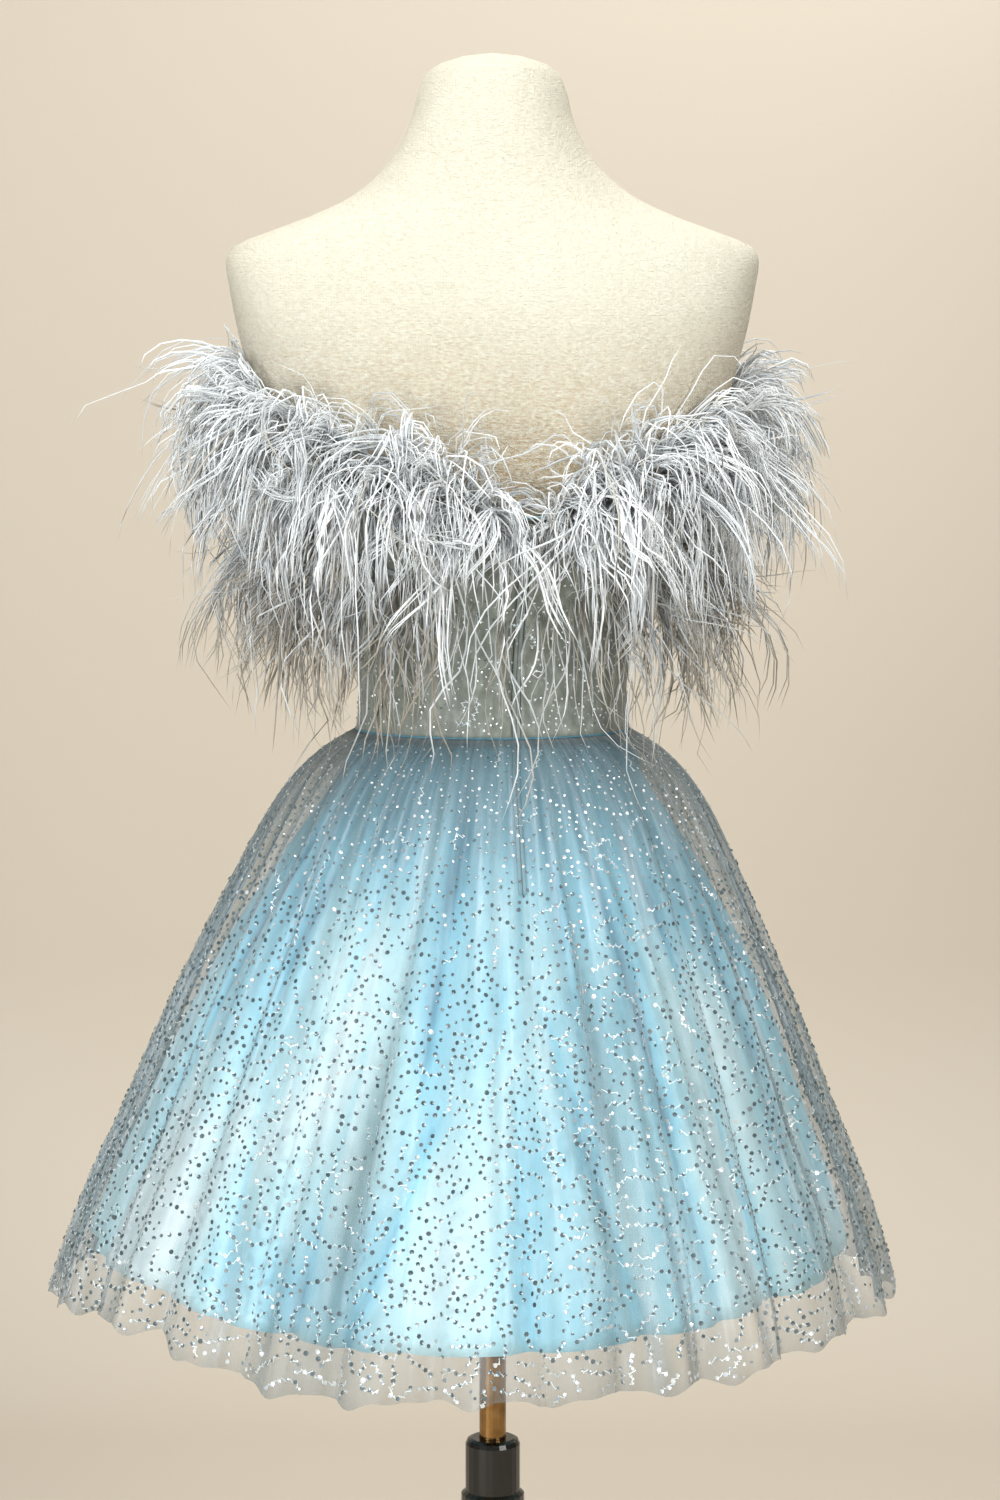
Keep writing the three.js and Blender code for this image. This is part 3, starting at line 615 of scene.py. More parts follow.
netLook = {
    "colours": [(0.0, (0.13, 0.18, 0.19)), (0.6, (0.30, 0.36, 0.39)), (1.0, (0.62, 0.68, 0.72))],
    "mesh": 2100,  # threads, in half waves to the metre
    "streak": (90, 7, 1),
    # painted shade: the net's colour turns darker where it is gathered, most near the waist in the shade
    # under the feathers
    "waistShade": -0.4,  # darker where the net is gathered
    "cover": 0.015,
    "waistCover": 0.29,  # added where it is gathered
    "threads": 0.07,
    "wisps": 0.06,
    "edgeCover": 0.42,  # added where it is seen edge on, one thread behind another
    "edgePower": 2.2,
}


def makeNet():
    material, tree, shader = newMaterial("sequinNet", 0.6, Sheen_Weight=0.15)
    cloth = clothPlace(tree)
    streak = placed(tree, slubStreaks, Place=cloth, Stretch=netLook["streak"], Detail=4)
    weave = placed(tree, plainWeave, Place=cloth, Threads=netLook["mesh"])
    gathered = perPoint(tree, "gathered")
    shade = maths(tree, "MULTIPLY_ADD", gathered, netLook["waistShade"], streak["Mask"], clamp=True)
    feed(tree, shader["Base Color"], ramp(tree, netLook["colours"], shade))
    cover = netLook["cover"]
    for share, mask in {
        "waistCover": gathered,
        "threads": weave["Height"],
        "wisps": streak["Mask"],
        "edgeCover": maths(tree, "POWER", turnedEdge(tree, 0.5), netLook["edgePower"]),
    }.items():
        cover = maths(tree, "MULTIPLY_ADD", mask, netLook[share], cover, clamp=True)
    feed(tree, shader["Alpha"], cover)
    return material


bodiceLook = {
    "colours": [(0.0, (0.15, 0.17, 0.145)), (0.5, (0.19, 0.21, 0.18)), (1.0, (0.27, 0.295, 0.26))],
    "streak": (110, 80, 1),
    "weave": 2100,
    "weaveRelief": 0.5,
    "roughness": 0.5,
}


def makeBodiceCloth():
    material, tree, shader = newMaterial("bodiceCloth", bodiceLook["roughness"], Sheen_Weight=0.3)
    cloth = clothPlace(tree)
    streak = placed(tree, slubStreaks, Place=cloth, Stretch=bodiceLook["streak"], Detail=4)
    weave = placed(tree, plainWeave, Place=cloth, Threads=bodiceLook["weave"])
    feed(tree, shader["Base Color"], ramp(tree, bodiceLook["colours"], streak["Mask"]))
    total = maths(tree, "MULTIPLY_ADD", weave["Height"], bodiceLook["weaveRelief"], streak["Height"])
    addRelief(tree, shader, total, 0.3, 0.0006)
    return material


def makeTinted(name, stops, roughness, **sockets):
    # a finish whose shade comes from each piece's tone, which on the barbs and sequins carries painted light
    # and shade, with a little unevenness
    material, tree, shader = newMaterial(name, roughness, **sockets)
    shade = mixedFloat(tree, 0.25, perPoint(tree, "tone"), noise(tree, partPlace(tree), 150.0, 2.0))
    feed(tree, shader["Base Color"], ramp(tree, stops, shade))
    return material


def makeGrained(name, dark, light, roughness, scale, relief, **sockets):
    # a finish with faint uneven wear
    material, tree, shader = newMaterial(name, roughness, **sockets)
    grain = noise(tree, partPlace(tree), scale, 5.0)
    feed(tree, shader["Base Color"], ramp(tree, [(0.3, dark), (0.75, light)], grain))
    addRelief(tree, shader, grain, relief, 0.0004)
    return material


linen = makeLinen()
skirtSatin = makeSatin()
sequinNet = makeNet()
bodiceCloth = makeBodiceCloth()
featherBarbs = makeTinted("featherBarbs", [
    (0.0, (0.17, 0.135, 0.09)), (0.25, (0.43, 0.39, 0.325)),
    (0.48, (0.58, 0.62, 0.65)), (0.8, (0.95, 0.97, 0.99)),
], 0.65, Sheen_Weight=0.4)
sequinFoil = makeTinted("sequinFoil", [
    (0.0, (0.05, 0.08, 0.09)), (0.55, (0.16, 0.20, 0.22)),
    (0.75, (0.55, 0.60, 0.62)), (1.0, (0.95, 0.96, 0.97)),
], 0.25, Metallic=0.4)
whiteThread = makeTinted("whiteThread", [(0.0, (0.46, 0.58, 0.63)), (1.0, (0.84, 0.91, 0.93))], 0.55)
zipCloth = makeTinted("zipTape", [
    (0.0, (0.03, 0.04, 0.04)), (0.4, (0.14, 0.16, 0.15)),
    (0.6, (0.26, 0.30, 0.28)), (0.85, (0.28, 0.58, 0.72)),
], 0.7)
# painted reflection: the brass is darker than polished brass, standing for the dark room it reflects
brass = makeGrained("brassTube", (0.20, 0.105, 0.035), (0.42, 0.25, 0.10), 0.2, 60, 0.05, Metallic=1.0)
blackEnamel = makeGrained("blackEnamel", (0.004, 0.003, 0.002), (0.010, 0.007, 0.005), 0.22, 300, 0.12)
zipMetal = makeGrained("zipMetal", (0.30, 0.34, 0.36), (0.44, 0.48, 0.50), 0.35, 500, 0.1, Metallic=1.0)
tealBinding = makeGrained("tealBinding", (0.05, 0.16, 0.22), (0.12, 0.30, 0.38), 0.5, 600, 0.5)
tapeCloth = makeGrained("featherTape", (0.30, 0.34, 0.34), (0.48, 0.53, 0.54), 0.8, 700, 0.4)
aquaBinding = makeGrained("aquaBinding", (0.22, 0.48, 0.54), (0.45, 0.70, 0.74), 0.5, 500, 0.5)
print("materials made")

# mesh helpers


def addMesh(name, points, faces, material, smooth=True, **attributes):
    # points in millimetres, faces all with the same number of corners, attributes one value a point
    mesh = bpy.data.meshes.new(name)
    points = np.asarray(points, np.float32).reshape(-1, 3) / 1000
    faces = np.asarray(faces, np.int32)
    corners = faces.shape[1]
    mesh.vertices.add(len(points))
    mesh.vertices.foreach_set("co", points.ravel())
    mesh.loops.add(faces.size)
    mesh.loops.foreach_set("vertex_index", faces.ravel())
    mesh.polygons.add(len(faces))
    mesh.polygons.foreach_set("loop_start", np.arange(0, faces.size, corners, dtype=np.int32))
    mesh.polygons.foreach_set("use_smooth", np.full(len(faces), smooth))
    mesh.update(calc_edges=True)
    mesh.validate()
    for key, values in attributes.items():
        layer = mesh.attributes.new(key, "FLOAT", "POINT")
        layer.data.foreach_set("value", np.asarray(values, np.float32).ravel())
    mesh.materials.append(material)
    made = bpy.data.objects.new(name, mesh)
    bpy.context.scene.collection.objects.link(made)
    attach(made, "root")
    return made


def gridFaces(columns, rows, closed=False, rowsClosed=False):
    # quads of a grid whose points run up each column in turn
    i, j = np.meshgrid(np.arange(columns - (not closed)), np.arange(rows - (not rowsClosed)), indexing="ij")
    i, j = i.ravel(), j.ravel()
    k, m = (i + 1) % columns, (j + 1) % rows
    return np.stack([i * rows + j, k * rows + j, k * rows + m, i * rows + m], -1)


def addClothMap(piece, angle, z, around, closed=False):
    # each point's metres along the cloth, as if it were as wide all the way up, and metres up it
    mesh = piece.data
    layer = mesh.uv_layers.new(name="cloth")
    corners = np.empty(len(mesh.loops), np.int32)
    mesh.loops.foreach_get("vertex_index", corners)
    coordinates = np.stack([angle / 360 * around, z / 1000], -1)
    places = np.asarray(coordinates, np.float32).reshape(-1, 2)[corners].reshape(-1, 4, 2)
    if closed:
        along = places[..., 0]
        along[along < along.max(1, keepdims=True) - around / 2] += around
    layer.data.foreach_set("uv", places.ravel())


def thicken(piece, thickness):
    bpy.ops.object.select_all(action="DESELECT")
    bpy.context.view_layer.objects.active = piece
    piece.select_set(True)
    solid = piece.modifiers.new("thickness", "SOLIDIFY")
    solid.thickness = thickness / 1000
    solid.offset = -1
    bpy.ops.object.modifier_apply(modifier="thickness")


def surfaceFrame(pointAt, angle, z, grow=0.0):
    # points with their outward normals and the directions along and up the cloth
    aside, rise = 0.15, 0.6  # degrees and millimetres to the points beside it
    along = unit(pointAt(angle + aside, z, grow) - pointAt(angle - aside, z, grow))
    up = pointAt(angle, z + rise, grow) - pointAt(angle, z - rise, grow)
    normal = unit(np.cross(along, up))
    return pointAt(angle, z, grow), normal, along, np.cross(normal, along)


def sheetArea(grid, closed=False):
    grid = grid / 1000
    if closed:
        grid = np.concatenate([grid, grid[:1]])
    a = grid[1:, :-1] - grid[:-1, :-1]
    b = grid[:-1, 1:] - grid[:-1, :-1]
    return float(np.linalg.norm(np.cross(a, b), axis=-1).sum())


def roundTube(name, line, radius, material, sides=6):
    # a thin round tube that closes on itself, from its middle line
    ahead = unit(np.roll(line, -1, 0) - np.roll(line, 1, 0))
    out = unit(np.cross(ahead, [0, 0, 1.0]))[:, None]
    over = np.cross(out, ahead[:, None])
    turn = (2 * np.pi * np.arange(sides) / sides)[None, :, None]
    rings = line[:, None] + radius * (np.cos(turn) * out + np.sin(turn) * over)
    return addMesh(name, rings, gridFaces(len(line), sides, True, True), material)


# the form and its stand

formCover = {
    "columns": 120,
    # from height, to height, how many rows: closer together at both ends
    "bands": [(748, 764, 6), (764, 1390, 48), (1390, 1557, 30)],
    "bottom": (0, -8, 748),
    "top": (0, 11, 1560),
}


def makeFormCover():
    last = formCover["bands"][-1]
    heights = np.concatenate([np.linspace(*band, endpoint=band == last) for band in formCover["bands"]])
    angles = np.arange(formCover["columns"]) * 360 / formCover["columns"]
    grid = formPoint(angles[:, None], heights[None, :], 0.0, False)
    columns, rows = len(angles), len(heights)
    points = np.concatenate([grid.reshape(-1, 3), [formCover["top"], formCover["bottom"]]])
    quads = gridFaces(columns, rows, closed=True)
    ring = np.arange(columns)
    after = (ring + 1) % columns
    top, bottom = len(points) - 2, len(points) - 1
    faces = np.concatenate([
        quads[:, [0, 1, 2]],
        quads[:, [0, 2, 3]],
        np.stack([ring * rows + rows - 1, after * rows + rows - 1, np.full(columns, top)], -1),
        np.stack([after * rows, ring * rows, np.full(columns, bottom)], -1),
    ])
    piece = addMesh("form_cover", points, faces, linen)
    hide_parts("form_torso")


makeFormCover()
for name, material in {
    "form_pole": brass, "stand_sleeve": blackEnamel, "stand_base": blackEnamel, "zip_slider": zipMetal,
}.items():
    nodes[name].data.materials.clear()
    nodes[name].data.materials.append(material)
print("form and stand made")

# bodice and zip

bodice = {
    "columns": 220,
    "rows": 52,
    "thick": 1.6,
    "mapWidth": 0.8,
    "seamRadius": 0.8,
    "edgeRadius": 1.5,
    # soft creases in the cloth: angle, height, how far round, how tall, depth
    "creases": [
        (12, 1060, 34, 4, -1.0), (-14, 1068, 26, 3.5, -0.8), (36, 1052, 24, 4, -0.9),
        (4, 1082, 30, 5, -0.7), (-40, 1048, 24, 4, -0.8), (70, 1058, 26, 4, -0.9),
        (110, 1062, 30, 5, -0.8), (-80, 1060, 24, 4, -0.9), (150, 1050, 34, 4, -0.8),
        (200, 1064, 36, 5, -0.9), (240, 1054, 26, 4, -0.8), (180, 1092, 40, 6, -0.7),
        (30, 1112, 30, 6, -0.6), (-30, 1120, 32, 6, -0.6),
    ],
}
zipStrip = {
    "half": dress["zipWidth"] / 2 + dress["seamGap"],
    "thick": 0.8,
    "offForm": 1.2,
    "offSkirt": 0.6,
    "rows": (30, 50),  # below the waist and above it
    # across it, with a ridge down its middle: share of the width, lift, shade
    "profile": [(-0.5, 0.1, 0.0), (-0.42, 0.5, 0.8), (-0.12, 0.55, 1.0), (0, 0.25, 0.25),
                (0.12, 0.55, 1.0), (0.42, 0.5, 0.8), (0.5, 0.1, 0.0)],
    "flare": 0.55,  # how fast the skirt widens under it
}


def bodiceOut(angle, z):
    out = ripples(angle, "bodice", z / 60)
    for at, height, wide, tall, depth in bodice["creases"]:
        away = turned(angle, at)
        above = z - height - 0.08 * away
        out = out + depth * np.exp(-((away / wide) ** 2) - (above / tall) ** 2)
        out = out - 0.7 * depth * np.exp(-((away / wide) ** 2) - ((above - 1.7 * tall) / tall) ** 2)
    return out


def bodicePoint(angle, z, grow=0.0):
    reach = dress["ease"] + dress["bodiceThick"]
    base = formPoint(angle, z, reach)
    outward = formPoint(angle, z, reach + 1) - base
    return base + outward * np.asarray(bodiceOut(angle, z) + grow)[..., None]


def besideZip(gap, count):
    # angles all round the dress, from one side of the zip to the other
    edge = math.degrees((zipStrip["half"] + gap) / dress["waistRadius"])
    return np.linspace(dress["backSeam"] + edge, dress["backSeam"] + 360 - edge, count)


def makeBodice():
    angles = besideZip(0, bodice["columns"])
    low = dress["waist"] + dress["seamGap"]
    heights = low + (topEdge(angles)[:, None] - low) * np.linspace(0, 1, bodice["rows"])[None, :]
    spread = np.repeat(angles[:, None], bodice["rows"], 1)
    grid = bodicePoint(spread, heights)
    piece = addMesh("bodice_cloth", grid, gridFaces(len(angles), bodice["rows"]), bodiceCloth)
    addClothMap(piece, spread, heights, bodice["mapWidth"])
    thicken(piece, bodice["thick"])
    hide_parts("bodice_front", "bodice_back_left", "bodice_back_right")


def makeZip():
    foot, waist, top = dress["zipFoot"], dress["waist"], float(topEdge(dress["backSeam"])) - 1
    below, above = zipStrip["rows"]
    levels = np.append(np.linspace(foot, waist, below, endpoint=False), np.linspace(waist, top, above))
    onWaist = levels >= waist
    side, lift, shade = np.array(zipStrip["profile"]).T
    grid = np.empty((len(side), len(levels), 3))
    radius = dress["waistRadius"] + np.where(onWaist, 0, (waist - levels) * zipStrip["flare"])
    for column in range(len(side)):
        angle = dress["backSeam"] + np.degrees(side[column] * dress["zipWidth"] / radius)
        onBodice = formPoint(angle, levels, dress["ease"] + zipStrip["offForm"] + lift[column])
        onSkirt = satinPoint(angle, levels, zipStrip["offSkirt"] + lift[column])
        grid[column] = np.where(onWaist[:, None], onBodice, onSkirt)
    shade = shade[:, None]
    tone = np.where(onWaist[None, :], 0.6 * shade, 0.8 + 0.2 * shade - 0.75 * (shade == 0.25))
    piece = addMesh("zip_strip", grid, gridFaces(len(side), len(levels)), zipCloth, tone=tone)
    thicken(piece, zipStrip["thick"])
    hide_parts("back_zip")


def makeBindings():
    # the rolled waist seam and the bound top edge
    ring = besideZip(0.4, 240)
    reach = dress["ease"] + dress["bodiceThick"] - 0.1
    waistLine = formPoint(ring, np.full(len(ring), dress["waist"] + 0.4), reach)
    edgeLine = bodicePoint(ring, topEdge(ring) - 0.6, -0.6)
    roundTube("waist_seam", waistLine, bodice["seamRadius"], tealBinding)
    roundTube("top_binding", edgeLine, bodice["edgeRadius"], aquaBinding)


makeBodice()
makeZip()
makeBindings()
print("bodice and zip made")

# underskirt and net

underskirt = {
    "columns": 460,
    "rows": 62,
    "closer": 0.9,  # below 1, rows lie closer together near the waist
    "thick": 0.9,
    "seamDepth": 2.6,
    "seamWidth": 1.6,
    "seamFoot": 850,
    "mapWidth": 1.7,
    # painted light and shade on the satin: dark at the waist in the shadow under the feathers, paler lower
    # down where it turns up to the light, darker in a hollow, paler on a fold
    "waistShade": 0.02,
    "lowerShade": 0.33,
    "hollowShade": -0.013,
    "foldShade": 0.006,
}
netSkirt = {
    "columns": 480,
    "rows": 48,
    "closer": 0.85,
    "thick": 0.4,
    "mapWidth": 1.9,
    # how close the net looks, which also darkens its colour as painted shade: gathers that fade below the
    # waist, troughs, and the turned hem
    "gatherShade": 0.2,
    "troughShade": -0.12,
    "hemShade": 0.25,
    "hemFrom": 0.88,
}


def skirtRings(skirt, hemAt):
    # angles and heights of a grid all round, from the hem up to the waist
    seam = dress["backSeam"]
    angles = np.linspace(seam, seam + 360, skirt["columns"], endpoint=False)[:, None]
    shares = np.linspace(0, 1, skirt["rows"]) ** skirt["closer"]
    bottom = hemAt(angles)
    heights = bottom + (dress["waist"] - dress["seamGap"] - bottom) * shares[None, :]
    return np.repeat(angles, skirt["rows"], 1), heights


def makeSkirtPiece(name, skirt, grid, spread, heights, material, **shade):
    faces = gridFaces(skirt["columns"], skirt["rows"], closed=True)
    piece = addMesh(name, grid, faces, material, **shade)
    addClothMap(piece, spread, heights, skirt["mapWidth"], closed=True)
    thicken(piece, skirt["thick"])
    return piece, sheetArea(grid, closed=True)


def makeUnderskirt():
    spread, heights = skirtRings(underskirt, satinHemAt)
    down = wayDown(heights, "satinHem")
    groove = -underskirt["seamDepth"] * np.exp(-((fromBack(spread) / underskirt["seamWidth"]) ** 2))
    groove *= fade(heights, underskirt["seamFoot"], 60) * fade(heights, dress["waist"], -10)
    grid = satinPoint(spread, heights, 1.0)
    grid = grid + (satinPoint(spread, heights, 2.0) - grid) * groove[..., None]
    _, fold, _ = creaseAt(satinCreases, spread)
    hollow = np.minimum(troughsAt(satinTroughs, spread, down), 0)
    # painted light and shade: dark at the waist, paler lower down, on folds and on the panels, darker in
    # hollows
    bloom = underskirt["waistShade"] + underskirt["lowerShade"] * np.clip(down / 0.5, 0, 1) ** 0.8
    bloom = bloom + underskirt["hollowShade"] * hollow**2 + underskirt["foldShade"] * fold * down
    bloom = np.clip(bloom + panelsAt(satinPanels, spread + 1.6 * np.sin(9 * down), down), 0, 1)
    piece, area = makeSkirtPiece(
        "underskirt_satin", underskirt, grid, spread, heights, skirtSatin, bloom=bloom)
    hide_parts("underskirt_front", "underskirt_back_left", "underskirt_back_right")


def makeNetSkirt():
    spread, heights = skirtRings(netSkirt, netHemAt)
    down = wayDown(heights)
    grid = netPoint(spread, heights, 1.0)
    gathered = np.exp(-down / netSkirt["gatherShade"])
    gathered = gathered + netSkirt["troughShade"] * troughsAt(netTroughs, spread, down)
    gathered = gathered + panelsAt(netPanels, spread, down)
    gathered = np.clip(gathered + netSkirt["hemShade"] * fade(down, netSkirt["hemFrom"], 0.1), 0, 1)
    piece, area = makeSkirtPiece("net_skirt", netSkirt, grid, spread, heights, sequinNet, gathered=gathered)
    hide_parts("net_skirt_front", "net_skirt_back_left", "net_skirt_back_right")


makeUnderskirt()
makeNetSkirt()
print("skirts made")

# sequins and thread

sequins = {
    "step": {"skirt": 5.6, "bodice": 5.0},  # along a row, in millimetres
    "clear": 5.0,  # between rows
    "tries": {"skirt": 22000, "bodice": 3000},
    "rowOf": (3, 13),  # how many in a row, from and below
    "firstBend": 0.5,  # how fast a row starts to turn, how that changes, and how much of it is kept
    "bend": 0.42,
    "bendKept": 0.65,
    "border": 3.0,  # kept free at both ends of the cloth
    "radius": 1.75,
    "sizes": (0.7, 1.2),
    "cup": 0.25,
    "tilt": 0.22,
    # painted highlight: above this height the sequins are also painted brighter
    "smallAbove": 880,  # height from which they get smaller and brighter, and over how far
    "smallOver": 130,
    "threadWidth": 0.6,
    "sway": 2.2,
    "threaded": (0.08, 1.0),  # share of the rows with thread, at the waist and at the hem
    "bodiceRadius": 118.0,
    # the net's own radius for spacing the rows, from the hem up
    "netRadius": ([540, 955, 986, 1008, 1024], [335, 178, 158, 136, 112]),
    # painted highlights: where more of them catch the light: angle, half width, how much
    "glints": [
        (28, 20, 0.34), (-30, 7, 0.2), (64, 9, 0.3), (112, 24, 0.3),
        (160, 14, 0.3), (205, 22, 0.34), (255, 16, 0.3),
    ],
}


def glintsAt(angle):
    return sum(much * np.exp(-((turned(angle, at) / wide) ** 2)) for at, wide, much in sequins["glints"])


def meanderRows(radiusAt, lowAt, highAt, step, tries, seed):
    # rows of stations that wander over the cloth and keep clear of each other
    maker = np.random.default_rng(seed)
    cell, border = sequins["clear"], sequins["border"]
    taken, rowsMade = {}, []
    near = [(dx, dy, dz) for dx in (-1, 0, 1) for dy in (-1, 0, 1) for dz in (-1, 0, 1)]

    def free(place, key):
        around = ((key[0] + dx, key[1] + dy, key[2] + dz) for dx, dy, dz in near)
        return all(math.dist(other, place) >= cell for spot in around for other in taken.get(spot, ()))

    for along, share in maker.uniform(0, 1, (tries, 2)):
        angle = 360 * along
        z = lowAt(angle) + border + (highAt(angle) - lowAt(angle) - 2 * border) * share
        heading = maker.uniform(0, 2 * math.pi)
        curve = maker.normal(0, sequins["firstBend"])
        row, places = [], []
        for _ in range(int(maker.integers(*sequins["rowOf"]))):
            if not lowAt(angle) + border < z < highAt(angle) - border:
                break
            radius = radiusAt(z)
            place = (radius * math.cos(math.radians(angle)), radius * math.sin(math.radians(angle)), z)
            key = tuple(int(v // cell) for v in place)
            if not free(place, key):
                break
            row.append((angle, z))
            places.append((key, place))
            angle += math.degrees(step * math.cos(heading) / radius)
            z += 0.94 * step * math.sin(heading)
            curve = sequins["bendKept"] * curve + maker.normal(0, sequins["bend"])
            heading += curve
        if len(row) >= 2:
            for key, place in places:
                taken.setdefault(key, []).append(place)
            rowsMade.append(np.array(row))
    return rowsMade


def sequinMesh(name, pointAt, rowsMade, grow, seed):
    # six-sided cupped discs, each a little tilted
    maker = np.random.default_rng(seed)
    angle, z = np.concatenate(rowsMade).T
    count = len(angle)
    point, normal, along, up = surfaceFrame(pointAt, angle, z, grow)
    tilt = maker.normal(0, sequins["tilt"], (count, 2))
    normal = unit(normal + along * tilt[:, :1] + up * tilt[:, 1:])
    along = unit(along - normal * (along * normal).sum(-1, keepdims=True))
    up = np.cross(normal, along)
    high = fade(z, sequins["smallAbove"], sequins["smallOver"])
    sizes = maker.uniform(*sequins["sizes"], (count, 1, 1))
    radius = sequins["radius"] * sizes * (1 - 0.4 * high)[:, None, None]
    turn = np.radians(60 * np.arange(6))[None, :, None]
    rim = point[:, None] + radius * (np.cos(turn) * along[:, None] + np.sin(turn) * up[:, None])
    rim = rim + normal[:, None] * sequins["cup"]
    points = np.concatenate([rim, point[:, None]], 1)
    ring = np.stack([np.arange(6), (np.arange(6) + 1) % 6, np.full(6, 6)], -1)[None]
    faces = (7 * np.arange(count)[:, None, None] + ring).reshape(-1, 3)
    # painted highlights: brighter in the folds, near the waist, at the hem and where they catch the light
    down = wayDown(z)
    folded = np.clip(-troughsAt(netTroughs, angle, down) / 4, 0, 1)
    tone = maker.beta(0.9, 2.6, count) + 0.7 * high + 0.5 * folded * maker.uniform(0, 1.4, count)
    tone = tone + glintsAt(angle) + 0.4 * fade(down, 0.9, 0.08) + 0.2 * high * maker.normal(0, 1, count)
    tone = np.repeat(np.clip(tone, 0, 1), 7)
    return addMesh(name, points, faces, sequinFoil, smooth=False, tone=tone)


def threadMesh(name, pointAt, rowsMade, grow, seed):
    # flat white thread that winds along each row
    maker = np.random.default_rng(seed)
    allPoints, allFaces, tones, base = [], [], [], 0
    for row in rowsMade:
        down = wayDown(row[0, 1])
        share = np.interp(down, [0.1, 0.9], sequins["threaded"])
        share = share + glintsAt(row[0, 0]) * np.clip(3 * down - 0.6, 0, 1)
        if len(row) < 3 or maker.uniform(0, 1) > share:
            continue
        steps = 7 * (len(row) - 1) + 1
        at = np.linspace(0, len(row) - 1, steps)
        _, angle, z = smoothRows(np.column_stack([np.arange(len(row)), row]), at)
        point, normal, _, _ = surfaceFrame(pointAt, angle, z, grow)
        forward = np.gradient(point, axis=0)
        side, forward = unit(np.cross(normal, forward)), unit(forward)
        turn = 0.95 * at + 0.25 * np.sin(0.9 * at + maker.uniform(0, 6.28)) + maker.uniform(0, 1)
        turn = 2 * np.pi * turn[:, None]
        point = point + sequins["sway"] * (side * np.sin(turn) + 0.55 * forward * np.sin(2 * turn))
        side = unit(np.cross(normal, np.gradient(point, axis=0)))
        half = 0.5 * sequins["threadWidth"] * maker.uniform(0.6, 1.2)
        allPoints.append(np.stack([point - side * half, point + side * half], 1).reshape(-1, 3))
        i = base + 2 * np.arange(steps - 1)
        allFaces.append(np.stack([i, i + 2, i + 3, i + 1], -1))
        tones.append(np.full(2 * steps, maker.uniform(0, 1)))
        base += 2 * steps
    tone = np.concatenate(tones)
    return addMesh(name, np.concatenate(allPoints), np.concatenate(allFaces), whiteThread, tone=tone)


def byHalfDegree(edgeAt):
    # looks up an edge's height from a table made once
    line = edgeAt(np.arange(721) / 2)
    return lambda angle: float(line[int(2 * (angle % 360))])


# name, radius at a height, lower edge, upper edge, surface, how far out, seed
for name, radiusAt, lowAt, highAt, pointAt, grow, seed in (
    ("skirt", lambda z: float(np.interp(z, *sequins["netRadius"])), byHalfDegree(netHemAt),
     lambda angle: dress["waist"] - 1, netPoint, 1.3, 21),
    ("bodice", lambda z: sequins["bodiceRadius"], lambda angle: dress["waist"] + 1,
     byHalfDegree(topEdge), bodicePoint, 0.3, 22),
):
    rowsMade = meanderRows(radiusAt, lowAt, highAt, sequins["step"][name], sequins["tries"][name], seed)
    sequinMesh(f"{name}_sequins", pointAt, rowsMade, grow + 0.1, 31)
    threadMesh(f"{name}_thread", pointAt, rowsMade, grow - 0.05, 32)
    print(name, "sequins:", sum(len(row) for row in rowsMade))

# feathers

feathers = {
    "steps": 8,
    "strands": 6,  # in each tuft
    "tuftEvery": 4.0,  # millimetres along the tape, for each tier
    "thick": (0.5, 1.15),
    "taper": [0.8, 1.0, 1.05, 1.05, 1.0, 0.9, 0.7, 0.45],
    "size": (0.5, 1.08),  # of a tuft, as a share of its tier's length
    "longWisps": (0.05, 1.45),  # how many, how much longer
    "strays": (0.06, 75),  # how many, how many degrees higher they end
    "zipSide": 3.6,  # degrees kept free on each side of the zip
    # how much tufts differ, and barbs in a tuft: degrees where they leave, end, swing and curl, and the shade
    "leaves": (17, 14),
    "ends": (12, 20),
    "swings": (27, 16),
    "curls": (40, 56),
    "shades": (0.14, 0.24),
    "shadeBelow": 1190,  # painted shade: the ends that droop below it turn darker and brownish, over so many millimetres
    "shadeOver": 120,
    # rise, reach and sewn go by degrees from the centre back: the degrees, then the values there
    "rise": ([0, 6, 14], [0.5, 0.75, 1.0]),
    "tapes": {
        "upper": {
            "drop": 1,
            "height": 13.8,
            "bare": 0,
            "reach": ([0, 6, 12, 24, 60, 90], [0.5, 0.66, 1.05, 1.15, 1.04, 1.0]),
            "droop": 0,  # degrees lower near the centre back
            "drawsIn": 0.72,
            "single": 0.5,  # share of single strands near the centre back
            "left": 1.0,  # share of strands left there
            # painted shade: tone near the centre back and away from it, darker towards the sides
            "shadedTone": (0.57, 0.46),
            "tiers": [
                # up the tape, length, angle it leaves at, angle it ends at, how soon it turns
                (0.95, 124, 98, 60, 1.0), (0.8, 150, 86, 84, 0.66),
                (0.5, 160, 52, 90, 0.5), (0.2, 168, 14, 90, 0.5),
            ],
        },
        "lower": {
            "drop": 78,
            "height": 9.2,
            "bare": 24,
            "reach": ([0, 20, 50, 80, 100], [1.0, 0.95, 1.1, 1.1, 1.0]),
            "droop": 36,
            "drawsIn": 0.45,
            "single": 1.0,
            "left": 0.3,
            # painted shade: the lower tier is darker, in the shade of the upper one
            "shadedTone": (0.42, 0.42),
            "sewn": ([0, 25, 45, 70], [0.24, 0.36, 0.46, 0.72]),  # share of the tufts
            "tiers": [(0.8, 178, -4, 84, 0.6), (0.45, 180, -30, 88, 0.55), (0.1, 168, -50, 88, 0.5)],
        },
    },
}
clearance = {
    "heights": np.arange(740, 1560, 6.0),
    "turn": 2.0,  # degrees between its directions
    # below this height, the dress as it hangs there, how far it is kept clear
    "zones": [(1021, netPoint, 3.0), (1195, formPoint, 5.0), (1560, formPoint, 3.0)],
}


